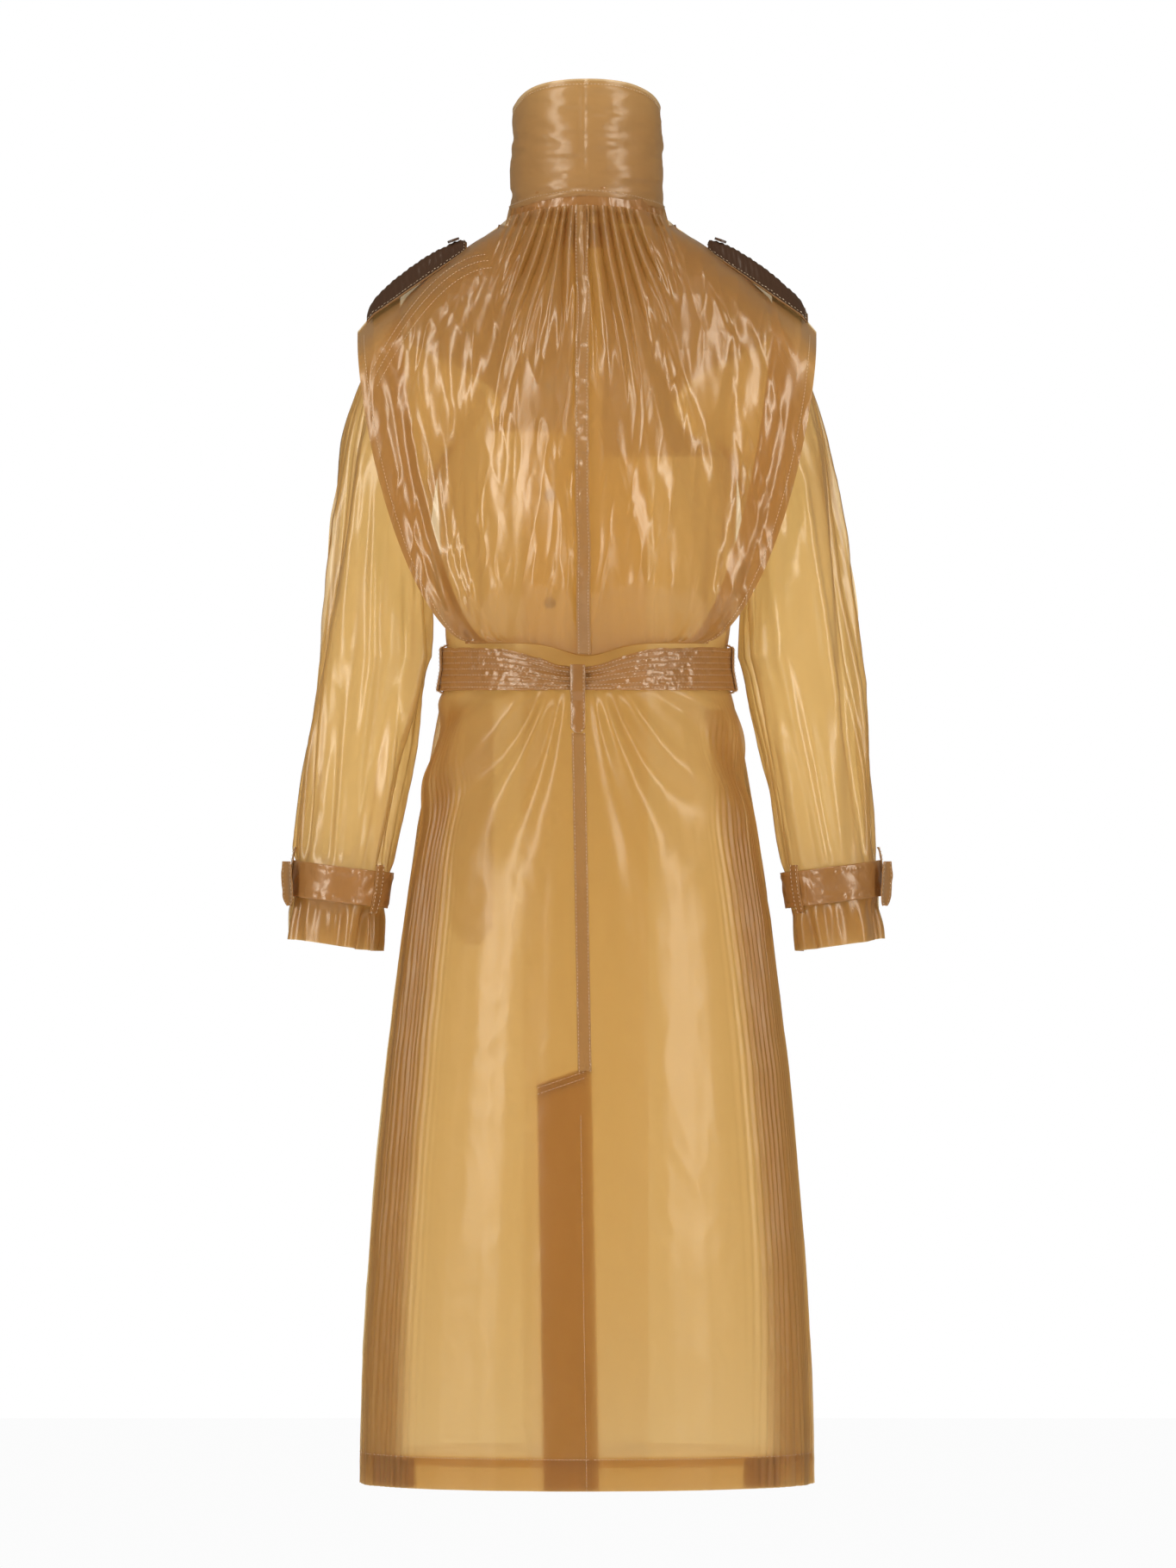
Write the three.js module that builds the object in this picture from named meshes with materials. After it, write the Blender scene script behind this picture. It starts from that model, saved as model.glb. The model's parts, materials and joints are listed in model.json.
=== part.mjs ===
// Belted trench coat in thin waterproof cloth, hanging as if worn, collar up and belt closed.
// Millimetres, +Z up. The back of the coat faces -Y, the wearer's right is +X.
// The origin is the middle of the hanging loop inside the back of the neck.
// Every cloth piece is a thin closed panel: a grid of points on the coat's surface, thickened inwards.
// The belt, the straps and the strips are laid on that surface with small named gaps.

import * as THREE from 'three';
import { mergeVertices } from 'three/addons/utils/BufferGeometryUtils.js';

// ---------- Driving dimensions ----------

const coat = {
  hemZ: -1227, // hem, below the neck seam
  waistZ: -447, // middle of the belt
  hemHalfWidth: 215,
  hemHalfDepth: 150,
  waistHalfWidth: 132,
  waistHalfDepth: 92,
  chestZ: -255,
  chestHalfWidth: 143,
  chestHalfDepth: 108,
  shoulderZ: -108,
  shoulderHalfWidth: 200,
  shoulderHalfDepth: 84,
  neckBaseZ: -24,
  neckSpread: 4, // the neck's base is this much wider than the neck seam on each side
  neckZ: -6,
  neckHalfWidth: 74,
  neckHalfDepth: 65,
  flare: 1.75, // above 1 the skirt widens fastest just below the belt
};

const cloth = 2; // thickness of a cloth panel
const rowSpread = 1.7; // above 1 the rows of a long panel crowd towards its top
const tape = 1.4; // thickness of strips and straps laid on the cloth
const seamGap = 0.8; // between two panels that meet edge to edge
const layerGap = 1; // the unit of clearance between two layers that lie on each other

const collar = { height: 116, standDrop: 16, standTop: 12, leafFoot: 2, sideDrop: 16, frontGap: 14 };

const sleeve = {
  topZ: -152, // upper rim on the outer side
  underarmZ: -246, // upper rim on the inner side
  elbowZ: -436,
  hemOuterZ: -705,
  hemInnerZ: -717,
  innerX: Math.max(coat.chestHalfWidth, coat.waistHalfWidth + 11) + 7, // clear of the body
  topOuterX: coat.shoulderHalfWidth + 21,
  spread: 50, // how much further out the inner line is at the hem
  hemWidth: 85,
  upperHalfDepth: 52,
  hemHalfDepth: 43,
  bow: 6, // the outer line bows out this much halfway down
  elbowGap: 5,
  elbowWedge: 22, // extra gap on the front side, which closes as the elbow bends
};

const cape = {
  halfWidth: sleeve.topOuterX - 1, // at the shoulder corners
  footHalfWidth: coat.waistHalfWidth - 16,
  footGap: 6, // from the cape's foot down to the belt's upper edge
  edgeCurve: 1.6, // exponent of the free edge's rounded outline
  neckDip: 9, // the neck seam is this much lower at the sides of the neck
  lift: 6, // between the back panels and the cape's outer face
  sleeveCover: sleeve.upperHalfDepth + 10, // how far behind the middle plane it lies over a sleeve
  crownFall: 20, // how far below the shoulder line it has rounded over to the sleeve
  overSleeveFrom: 60, // the sleeve carries the cape from this x, and fully at overSleeveTo
  overSleeveTo: 190,
  balloon: 34, // how far it stands off the back just above the belt
  sideBalloon: 0.4, // share of the balloon left over the sleeves
  cornerStart: 0.93, // share of the half width at which the shoulder corner turns down
  cornerSlope: 0.5,
  centreDip: 12, // the foot dips this much at the belt keeper
  dipReach: 32,
  seamX: -4,
};

const cuff = {
  strapRise: 58, // from the sleeve's hem up to the middle of the strap
  strapWidth: 34,
  keeperWidth: 9,
  keeperOverhang: 6,
  loopWidth: 5,
  loopRise: 13,
  tabWidth: 24,
  tabLength: 42,
  tabTip: 9,
  keeperAngle: Math.PI + 0.75, // on the inner side of the arm, towards the back
  loopAngle: -0.2,
  tabAngle: -0.42,
  tabLean: 0.12,
};

const belt = {
  width: 40,
  pinch: 19, // how much narrower it is in the keeper
  pinchReach: 46,
  openFrom: 0.05, // the belt's two ends stop this far, in radians, from the middle of the buckle
  openTo: 0.07,
  buckleX: -84,
  buckleWidth: 46,
  buckleHeight: 54,
  buckleBar: 6,
  buckleThickness: 4,
  prongRadius: 1.6,
  tailLength: 235,
  tailTip: 18,
  tailShift: 25, // the tail hangs this far beyond the middle of the buckle
};

const keeper = { x: -8, width: 13, length: 62, overhang: 3, narrowing: 12 };

// An epaulette is an arched tongue. Its button sits buttonAlong of the way from the sleeve to the neck.
const epaulette = {
  outset: 11,
  length: 95,
  width: 46,
  neckWidth: 34,
  arch: 13,
  lift: 2.5,
  droop: 0.1,
  buttonAlong: 0.88,
};

const seam = { width: 13, topX: -9, hemX: 5 };

// The vent's loose lower corner folds on a line that leaves the free edge cornerDrop below the top.
const vent = { topZ: -833, width: 46, cornerReach: 92, cornerDrop: 26 };

// The loose lower corner of the overlapping front folds on a line from cornerTopZ to the hem.
const front = { overlap: 62, cornerTopZ: -520, cornerReach: 104, cornerDrop: 22, tuckReach: 20 };

// The gun flaps are the storm flaps on the chest. The right one is longer.
const gunFlap = { leftFootZ: -216, rightFootZ: -240, innerX: 14, sideInset: 0.12 };

// The cut is the armhole's widest half angle, in radians.
const armhole = { topZ: coat.shoulderZ - 6, footZ: coat.chestZ - 7, cut: 0.95 };

const pleat = { topGap: 19, startAngle: 0.16, endAngle: 0.92 };

const stud = { radius: 6, thickness: 2.2, count: 4, topZ: -70, step: 104, inset: 0.6 };

const loop = { halfLength: 32, height: 7, rise: 13, thickness: 2 };

const label = { width: 52, height: 24, thickness: 0.8, topZ: -22 };

const sideLoop = { width: 8, height: 58, angle: 0.12 };

// Values that several pieces share.
const beltUpperZ = coat.waistZ + belt.width / 2;
const beltLowerZ = coat.waistZ - belt.width / 2;
const keeperTopZ = coat.waistZ + 1;
const beltOffset = cloth + 2 * layerGap;

const materials = {
  cloth: { color: 0xc99b5e, roughness: 0.35, metalness: 0 },
  doubled: { color: 0x9a6a3c, roughness: 0.4, metalness: 0 },
  strap: { color: 0xa8784a, roughness: 0.4, metalness: 0 },
  dark: { color: 0x4a3324, roughness: 0.45, metalness: 0 },
  buckle: { color: 0x3b2a1e, roughness: 0.25, metalness: 0 },
};

// The surfaces are worked out round the coat's middle axis, and the group then moves them so that
// the origin is in the middle of the hanging loop. The loop starts on the inside of the collar stand.
const standInside = coat.neckHalfDepth - 2 * cloth - 3 * layerGap;
const loopOut = loop.rise + (loop.thickness + layerGap) / 2;
const coatGroup = new THREE.Group();
coatGroup.position.y = standInside - loopOut;

// ---------- Small helpers ----------

const { lerp, clamp, smoothstep } = THREE.MathUtils;

function addPiece(name, geometry, look) {
  const mesh = new THREE.Mesh(geometry, new THREE.MeshStandardMaterial(materials[look]));
  mesh.name = name;
  coatGroup.add(mesh);
  return mesh;
}

// The rate at which a surface turns at (u, v), as its outward unit normal.
function surfaceNormal(surface, u, v) {
  const step = 0.004;
  const left = surface(u - step, v);
  const right = surface(u + step, v);
  const below = surface(u, v - step);
  const above = surface(u, v + step);
  return right.sub(left).cross(above.sub(below)).normalize();
}

// A closed thin panel: outer face on surface(u, v) with u and v in 0..1, thickened against the normal.
function panel(surface, thickness, columns, rows) {
  const box = new THREE.BoxGeometry(1, 1, 1, columns, rows, 1);
  const place = box.attributes.position;
  for (let i = 0; i < place.count; i += 1) {
    const u = place.getX(i) + 0.5;
    const v = place.getY(i) + 0.5;
    const depth = (place.getZ(i) - 0.5) * thickness;
    const point = surface(u, v).addScaledVector(surfaceNormal(surface, u, v), depth);
    place.setXYZ(i, point.x, point.y, point.z);
  }
  return weld(box);
}

// A closed tube with a wall: outer face on surface(angle, v), thickened towards the middle.
function sleeveTube(surface, thickness, segments, rows) {
  const profile = [];
  for (let i = 0; i <= rows; i += 1) {
    profile.push(new THREE.Vector2(2, i / rows));
  }
  for (let i = rows; i >= 0; i -= 1) {
    profile.push(new THREE.Vector2(1, i / rows));
  }
  profile.push(profile[0].clone());
  const tube = new THREE.LatheGeometry(profile, segments);
  const place = tube.attributes.position;
  for (let i = 0; i < place.count; i += 1) {
    const angle = Math.atan2(place.getZ(i), place.getX(i));
    const inward = 2 - Math.hypot(place.getX(i), place.getZ(i));
    const point = surface(angle, place.getY(i), -inward * thickness);
    place.setXYZ(i, point.x, point.y, point.z);
  }
  return facingOut(weld(tube));
}

function weld(geometry) {
  geometry.deleteAttribute('normal');
  geometry.deleteAttribute('uv');
  const welded = mergeVertices(geometry, 1e-3);
  welded.computeVertexNormals();
  return welded;
}

function facingOut(geometry) {
  const place = geometry.attributes.position;
  const index = geometry.index.array;
  const corners = [new THREE.Vector3(), new THREE.Vector3(), new THREE.Vector3()];
  let volume = 0;
  for (let i = 0; i < index.length; i += 3) {
    corners.forEach((corner, k) => corner.fromBufferAttribute(place, index[i + k]));
    volume += corners[0].dot(corners[1].clone().cross(corners[2]));
  }
  if (volume < 0) {
    for (let i = 0; i < index.length; i += 3) {
      [index[i], index[i + 1]] = [index[i + 1], index[i]];
    }
    geometry.computeVertexNormals();
  }
  return geometry;
}

// A share of the way down, with the rows crowded towards the top.
function crowdedToTop(down) {
  return Math.sign(down) * Math.abs(down) ** rowSpread;
}

function blendBetween(z, upper, lower, upperValue, lowerValue) {
  return lerp(lowerValue, upperValue, smoothstep(z, lower, upper));
}

// ---------- The coat's main surface ----------

// A size of the coat's oval section at height z, from its value at each level.
function sectionSize(z, neck, neckBase, shoulder, chest, waist, hem) {
  if (z > coat.neckBaseZ) {
    return lerp(neckBase, neck, (z - coat.neckBaseZ) / (coat.neckZ - coat.neckBaseZ));
  }
  if (z > coat.shoulderZ) {
    return lerp(shoulder, neckBase, (z - coat.shoulderZ) / (coat.neckBaseZ - coat.shoulderZ));
  }
  if (z > coat.chestZ) {
    return blendBetween(z, coat.shoulderZ, coat.chestZ, shoulder, chest);
  }
  if (z > coat.waistZ) {
    return blendBetween(z, coat.chestZ, coat.waistZ, chest, waist);
  }
  const down = clamp((coat.waistZ - z) / (coat.waistZ - coat.hemZ), 0, 1.02);
  const left = Math.max(1 - down, 0);
  return waist + (hem - waist) * (1 - left ** coat.flare);
}

function halfWidth(z) {
  return sectionSize(
    z,
    coat.neckHalfWidth,
    coat.neckHalfWidth + coat.neckSpread,
    coat.shoulderHalfWidth,
    coat.chestHalfWidth,
    coat.waistHalfWidth,
    coat.hemHalfWidth,
  );
}

function halfDepth(z) {
  return sectionSize(
    z,
    coat.neckHalfDepth,
    coat.neckHalfDepth + coat.neckSpread,
    coat.shoulderHalfDepth,
    coat.chestHalfDepth,
    coat.waistHalfDepth,
    coat.hemHalfDepth,
  );
}

// angle 0 is the wearer's right side, a quarter turn is the front, minus a quarter turn the back.
function coatPoint(angle, z, offset = 0) {
  const x = (halfWidth(z) + offset) * Math.cos(angle);
  const y = (halfDepth(z) + offset) * Math.sin(angle);
  return new THREE.Vector3(x, y, z);
}

// The angle at which the surface at height z has this x, on the back or on the front.
function backAngle(x, z) {
  return -Math.acos(clamp(x / halfWidth(z), -1, 1));
}

function frontAngle(x, z) {
  return Math.acos(clamp(x / halfWidth(z), -1, 1));
}

// How far the armhole cuts into a panel at this height, as an angle from the side seam.
function armholeCut(z) {
  const down = (armhole.topZ - z) / (armhole.topZ - armhole.footZ);
  if (down <= 0 || down >= 1) {
    return 0;
  }
  return armhole.cut * Math.sin(Math.PI * down) ** 0.9;
}

// A band of the main surface between two angles, each a function of height, from a top to a foot.
// The offset from the surface is a number, or a function of the angle and the height.
function coatPanel(startAngle, endAngle, topZ, footZ, offset, columns, rows) {
  const surface = (u, v) => {
    const z = lerp(topZ, footZ, crowdedToTop(1 - v));
    const angle = lerp(startAngle(z), endAngle(z), u);
    const out = typeof offset === 'number' ? offset : offset(angle, z);
    return coatPoint(angle, z, out);
  };
  return panel(surface, cloth, columns, rows);
}

// ---------- Back panels, centre seam and vent ----------

function seamX(z) {
  const down = clamp((keeperTopZ - z) / (keeperTopZ - coat.hemZ), 0, 1);
  return lerp(seam.topX, seam.hemX, down);
}

// The line on which the vent's loose corner folds: straight from the vent's top to the hem.
function ventFoldX(z) {
  const down = clamp((vent.topZ - z) / (vent.topZ - coat.hemZ), 0, 1);
  return seamX(z) - down * vent.cornerReach;
}

function sideAngleBack(side, z) {
  const seamSide = side < 0 ? -Math.PI : 0;
  return seamSide - side * (armholeCut(z) + seamGap / halfDepth(z));
}

function addBackPanels() {
  const rows = 26;
  const innerLeft = (z) => backAngle(ventFoldX(z) - seamGap / 2, z);
  const innerRight = (z) => backAngle(seamX(z) + seamGap / 2, z);
  const left = coatPanel((z) => sideAngleBack(-1, z), innerLeft, coat.neckZ, coat.hemZ, 0, 7, rows);
  const right = coatPanel(innerRight, (z) => sideAngleBack(1, z), coat.neckZ, coat.hemZ, 0, 7, rows);
  addPiece('back_left', left, 'cloth');
  addPiece('back_right', right, 'cloth');
}

function addVent() {
  const cornerTopZ = vent.topZ - vent.cornerDrop;
  const fold = (z) => backAngle(ventFoldX(z) + seamGap / 2, z);
  const edge = (z) => backAngle(seamX(z) - seamGap / 2, z);
  addPiece('vent_corner', coatPanel(fold, edge, cornerTopZ, coat.hemZ, 0, 3, 8), 'cloth');
  const underlapOffset = -cloth - layerGap;
  const underStart = (z) => backAngle(seamX(z) - vent.width, z);
  const underEnd = (z) => backAngle(seamX(z) + seam.width / 2, z);
  const underlap = coatPanel(underStart, underEnd, vent.topZ + 6, coat.hemZ, underlapOffset, 2, 10);
  addPiece('vent_underlap', underlap, 'doubled');
}

function addSeamStrip() {
  const footZ = vent.topZ + 4;
  const surface = (u, v) => {
    const z = lerp(footZ, keeperTopZ - keeper.length - seamGap, v);
    const x = seamX(z) + (u - 0.5) * seam.width;
    return coatPoint(backAngle(x, z), z, tape + layerGap / 2);
  };
  addPiece('seam_strip', panel(surface, tape, 1, 6), 'strap');
}

// ---------- Fronts ----------

// The wearer's right front lies over the left one, as far as this x.
function frontFoldX(z) {
  const down = clamp((front.cornerTopZ - z) / (front.cornerTopZ - coat.hemZ), 0, 1);
  return -front.overlap * frontSpread(z) + down * (front.cornerReach + front.overlap);
}

// The overlap narrows towards the neck, where the fronts meet under the collar.
function frontSpread(z) {
  return clamp(halfWidth(z) / coat.waistHalfWidth, 0.5, 1);
}

function sideAngleFront(side, z) {
  const seamSide = side < 0 ? Math.PI : 0;
  return seamSide + side * (armholeCut(z) + seamGap / halfDepth(z));
}

function addFronts() {
  const rows = 26;
  const tuck = cloth + stud.thickness + 3 * layerGap;
  const underneath = (angle, z) => {
    const x = halfWidth(z) * Math.cos(angle);
    const edge = -front.overlap * frontSpread(z);
    return -tuck * smoothstep(x, edge - stud.radius - front.tuckReach, edge - stud.radius);
  };
  const rightEdge = (z) => frontAngle(frontFoldX(z) + seamGap / 2, z);
  const leftEdge = (z) => frontAngle(front.overlap * frontSpread(z), z);
  const right = coatPanel((z) => sideAngleFront(1, z), rightEdge, coat.neckZ, coat.hemZ, 0, 9, rows);
  const leftSide = (z) => sideAngleFront(-1, z);
  const leftTopZ = coat.neckZ - collar.standDrop;
  const left = coatPanel(leftEdge, leftSide, leftTopZ, coat.hemZ, underneath, 10, rows);
  addPiece('front_right', right, 'cloth');
  addPiece('front_left', left, 'cloth');
  const fold = (z) => frontAngle(frontFoldX(z) - seamGap / 2, z);
  const edge = (z) => frontAngle(-front.overlap * frontSpread(z), z);
  const corner = coatPanel(fold, edge, front.cornerTopZ - front.cornerDrop, coat.hemZ, 0, 5, 14);
  addPiece('front_corner', corner, 'cloth');
}

function addPressStuds() {
  for (let i = 0; i < stud.count; i += 1) {
    const z = stud.topZ - i * stud.step;
    const x = -front.overlap * frontSpread(z) * stud.inset;
    const angle = frontAngle(x, z);
    const middle = coatPoint(angle, z, -cloth - 1.5 * layerGap - stud.thickness / 2);
    const outward = surfaceNormal((u, v) => coatPoint(angle + u, z + v), 0, 0);
    const disc = new THREE.CylinderGeometry(stud.radius, stud.radius, stud.thickness, 12);
    const mesh = addPiece(`press_stud_${i + 1}`, disc, 'buckle');
    mesh.quaternion.setFromUnitVectors(new THREE.Vector3(0, 1, 0), outward);
    mesh.position.copy(middle);
  }
}

function addGunFlaps() {
  const lift = cloth + 6 * layerGap;
  const sides = [
    { name: 'gun_flap_left', side: -1, footZ: gunFlap.leftFootZ },
    { name: 'gun_flap_right', side: 1, footZ: gunFlap.rightFootZ },
  ];
  for (const { name, side, footZ } of sides) {
    const inner = (z) => frontAngle(side * gunFlap.innerX, z);
    const outer = (z) => sideAngleFront(side, z) + side * gunFlap.sideInset;
    const ends = side > 0 ? [outer, inner] : [inner, outer];
    addPiece(name, coatPanel(ends[0], ends[1], coat.neckZ - 14, footZ, lift, 6, 14), 'cloth');
  }
}

function addSidePleats() {
  const depth = -2 * cloth - stud.thickness - 4 * layerGap;
  for (const side of [-1, 1]) {
    const seamSide = side < 0 ? -Math.PI : 0;
    const near = () => seamSide - side * pleat.startAngle;
    const far = () => seamSide - side * pleat.endAngle;
    const ends = side < 0 ? [near, far] : [far, near];
    const name = side < 0 ? 'side_pleat_left' : 'side_pleat_right';
    const topZ = beltLowerZ - pleat.topGap;
    addPiece(name, coatPanel(ends[0], ends[1], topZ, coat.hemZ, depth, 4, 12), 'doubled');
  }
}

// ---------- Storm cape on the back ----------

// The fall of the shoulder line for each millimetre outwards.
const shoulderFall = coat.neckBaseZ - coat.shoulderZ;
const shoulderSlope = shoulderFall / (coat.shoulderHalfWidth - coat.neckHalfWidth - coat.neckSpread);

// The cape's upper edge: the neck seam in the middle, then along the shoulder to the rounded corner.
function capeTopZ(x) {
  const reach = Math.abs(x);
  const neckEnd = coat.neckZ - cape.neckDip;
  if (reach < coat.neckHalfWidth) {
    return coat.neckZ + layerGap - cape.neckDip * (reach / coat.neckHalfWidth) ** 2;
  }
  const slope = neckEnd - shoulderSlope * (reach - coat.neckHalfWidth);
  const corner = Math.max(reach - cape.cornerStart * cape.halfWidth, 0);
  return slope - cape.cornerSlope * corner;
}

function capeSideX(v) {
  const down = clamp(v, 0, 1);
  const round = (1 - down ** cape.edgeCurve) ** (1 / cape.edgeCurve);
  return cape.footHalfWidth + (cape.halfWidth - cape.footHalfWidth) * round;
}

// The back surface's depth behind the middle plane at (x, z), nought outside it.
function backDepth(x, z, offset) {
  const across = clamp(x / (halfWidth(z) + offset), -1, 1);
  return (halfDepth(z) + offset) * Math.sqrt(1 - across * across);
}

function capePoint(s, v, lift = 0) {
  const down = clamp(v, 0, 1);
  const x = s * capeSideX(v);
  const topZ = capeTopZ(s * cape.halfWidth);
  const footZ = beltUpperZ + cape.footGap - cape.centreDip * Math.exp(-((x / cape.dipReach) ** 2));
  const z = lerp(topZ, footZ, v);
  const fall = Math.max(topZ - z, 0);
  const overSleeve = cape.sleeveCover * (1 - Math.exp(-((fall / cape.crownFall) ** 1.4)));
  const overBack = backDepth(x, z, cape.lift);
  const wide = smoothstep(Math.abs(x), cape.overSleeveFrom, cape.overSleeveTo);
  const swell = cape.balloon * smoothstep(down, 0.1, 0.8) * (1 - smoothstep(down, 0.86, 1.05));
  const smoothMax = (overSleeve ** 6 * wide + overBack ** 6) ** (1 / 6);
  const standOff = swell * lerp(1, cape.sideBalloon, wide);
  return new THREE.Vector3(x, -smoothMax - standOff - lift, z);
}

function addCape() {
  const middle = cape.seamX / cape.halfWidth;
  const gap = seamGap / 2 / cape.footHalfWidth;
  const half = (from, to) => {
    const surface = (u, v) => capePoint(lerp(from, to, u), crowdedToTop(1 - v));
    return panel(surface, cloth, 9, 15);
  };
  addPiece('storm_cape_left', half(-1, middle - gap), 'cloth');
  addPiece('storm_cape_right', half(middle + gap, 1), 'cloth');
  const strip = (u, v) => {
    const down = crowdedToTop(1 - v);
    const x = cape.seamX + (u - 0.5) * seam.width;
    return capePoint(x / capeSideX(down), down, tape + layerGap);
  };
  addPiece('cape_seam_strip', panel(strip, tape, 1, 15), 'strap');
}

// ---------- Collar, loop and label ----------

function neckPoint(angle, z, offset) {
  const x = (coat.neckHalfWidth + offset) * Math.cos(angle);
  const y = (coat.neckHalfDepth + offset) * Math.sin(angle);
  return new THREE.Vector3(x, y, z);
}

// A collar part runs from one side of the front opening round the back to the other.
function collarPiece(footZ, topZ, offset, sideDrop) {
  const opening = collar.frontGap / 2 / coat.neckHalfWidth;
  const surface = (u, v) => {
    const angle = lerp(Math.PI / 2 + opening, 2.5 * Math.PI - opening, u);
    const fromBack = (1 + Math.sin(angle)) / 2;
    const z = lerp(footZ, topZ - sideDrop * fromBack * 2, v);
    return neckPoint(angle, z, offset);
  };
  return panel(surface, cloth, 24, 3);
}

function addCollar() {
  const standOffset = -cloth - layerGap;
  const stand = collarPiece(-collar.standDrop, collar.standTop, standOffset - layerGap, 0);
  const leaf = collarPiece(collar.leafFoot, collar.height, -layerGap, collar.sideDrop);
  addPiece('collar_stand', stand, 'doubled');
  addPiece('collar_leaf', leaf, 'cloth');
}

function addHangLoop() {
  const surface = (u, v) => {
    const x = lerp(loop.halfLength, -loop.halfLength, u);
    const arch = Math.cos((Math.PI / 2) * clamp(x / loop.halfLength, -1, 1)) ** 0.7;
    const wall = standInside * Math.sqrt(1 - (x / coat.neckHalfWidth) ** 2);
    const y = -wall + loop.thickness + layerGap / 2 + arch * loop.rise;
    return new THREE.Vector3(x, y, lerp(-loop.height / 2, loop.height / 2, v));
  };
  addPiece('hang_loop', panel(surface, loop.thickness, 14, 1), 'strap');
}

function addLabel() {
  const surface = (u, v) => {
    const z = lerp(label.topZ - label.height, label.topZ, v);
    const x = lerp(label.width / 2, -label.width / 2, u);
    const angle = backAngle(x, z);
    return coatPoint(angle, z, -cloth - layerGap - label.thickness);
  };
  addPiece('neck_label', panel(surface, label.thickness, 6, 1), 'dark');
}

// ---------- Epaulettes ----------

function addEpaulettes() {
  for (const side of [-1, 1]) {
    const sideName = side < 0 ? 'left' : 'right';
    const ridge = (x) => capeTopZ(x) + cloth + epaulette.lift;
    const surface = (u, v) => {
      const along = side < 0 ? u : 1 - u;
      const x = side * (coat.shoulderHalfWidth + epaulette.outset - along * epaulette.length);
      const arch = epaulette.arch * Math.sin(Math.PI * clamp(along, 0, 1)) ** 0.5;
      const width = lerp(epaulette.width, epaulette.neckWidth, along);
      const droop = epaulette.droop * (width / 2) * (2 * v - 1) ** 2;
      const y = (v - 0.5) * width + epaulette.width * epaulette.droop;
      return new THREE.Vector3(x, y, ridge(x) + arch - droop + cloth);
    };
    addPiece(`epaulette_${sideName}`, panel(surface, cloth, 10, 3), 'dark');
    const buttonU = side < 0 ? epaulette.buttonAlong : 1 - epaulette.buttonAlong;
    const top = surface(buttonU, 0.5);
    const button = new THREE.CylinderGeometry(stud.radius, stud.radius, stud.thickness, 12);
    const mesh = addPiece(`epaulette_button_${sideName}`, button, 'buckle');
    const lean = surfaceNormal(surface, buttonU, 0.5);
    mesh.quaternion.setFromUnitVectors(new THREE.Vector3(0, 1, 0), lean);
    mesh.position.copy(top).addScaledVector(lean, stud.thickness / 2 + layerGap);
  }
}

// ---------- Sleeves and cuffs ----------

function sleeveOuterX(z) {
  const down = (sleeve.topZ - z) / (sleeve.topZ - sleeve.hemOuterZ);
  const bow = sleeve.bow * Math.sin(Math.PI * clamp(down, 0, 1));
  const hemOuterX = sleeve.innerX + sleeve.spread + sleeve.hemWidth;
  return lerp(sleeve.topOuterX, hemOuterX, down) + bow;
}

function sleeveInnerX(z) {
  const down = clamp((sleeve.elbowZ - z) / (sleeve.elbowZ - sleeve.hemInnerZ), 0, 1.1);
  return sleeve.innerX + sleeve.spread * down ** 0.85;
}

function sleeveHalfDepth(z) {
  return blendBetween(z, sleeve.underarmZ, sleeve.hemInnerZ, sleeve.upperHalfDepth, sleeve.hemHalfDepth);
}

// angle 0 is the outer side of the arm, a quarter turn its front.
function sleevePoint(side, angle, z, offset) {
  const outer = sleeveOuterX(z);
  const inner = sleeveInnerX(z);
  const x = (outer + inner) / 2 + ((outer - inner) / 2 + offset) * Math.cos(angle);
  const y = (sleeveHalfDepth(z) + offset) * Math.sin(angle);
  return new THREE.Vector3(side * x, y, z);
}

function acrossSleeve(angle, outerValue, innerValue) {
  return lerp(innerValue, outerValue, (1 + Math.cos(angle)) / 2);
}

function addSleeves() {
  for (const side of [-1, 1]) {
    const sideName = side < 0 ? 'left' : 'right';
    const wedge = (angle) => sleeve.elbowWedge * Math.max(Math.sin(angle), 0);
    const upper = (angle, v, offset) => {
      const topZ = acrossSleeve(angle, sleeve.topZ, sleeve.underarmZ);
      const footZ = sleeve.elbowZ + sleeve.elbowGap / 2 + wedge(angle) / 2;
      return sleevePoint(side, angle, lerp(footZ, topZ, v), offset);
    };
    const lower = (angle, v, offset) => {
      const topZ = sleeve.elbowZ - sleeve.elbowGap / 2 - wedge(angle) / 2;
      const footZ = acrossSleeve(angle, sleeve.hemOuterZ, sleeve.hemInnerZ);
      return sleevePoint(side, angle, lerp(footZ, topZ, v), offset);
    };
    addPiece(`sleeve_upper_${sideName}`, sleeveTube(upper, cloth, 16, 5), 'cloth');
    addPiece(`sleeve_lower_${sideName}`, sleeveTube(lower, cloth, 16, 5), 'cloth');
    addCuff(side, sideName);
  }
}

function strapZ(angle) {
  return acrossSleeve(angle, sleeve.hemOuterZ, sleeve.hemInnerZ) + cuff.strapRise;
}

// A small strip that starts on the sleeve above the strap, passes over it and ends below it.
function cuffBridge(side, angle, width, overhangTop, overhangFoot, rise) {
  const turn = width / 2 / sleeve.hemHalfDepth;
  return (u, v) => {
    const across = side < 0 ? u : 1 - u;
    const here = angle + (across - 0.5) * -2 * turn;
    const footZ = strapZ(angle) - cuff.strapWidth / 2 - overhangFoot;
    const topZ = strapZ(angle) + cuff.strapWidth / 2 + overhangTop;
    const z = lerp(footZ, topZ, v);
    const bump = Math.sin(Math.PI * clamp(v, 0, 1)) ** 0.35;
    return sleevePoint(side, here, z, tape + layerGap / 2 + rise * bump);
  };
}

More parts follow.
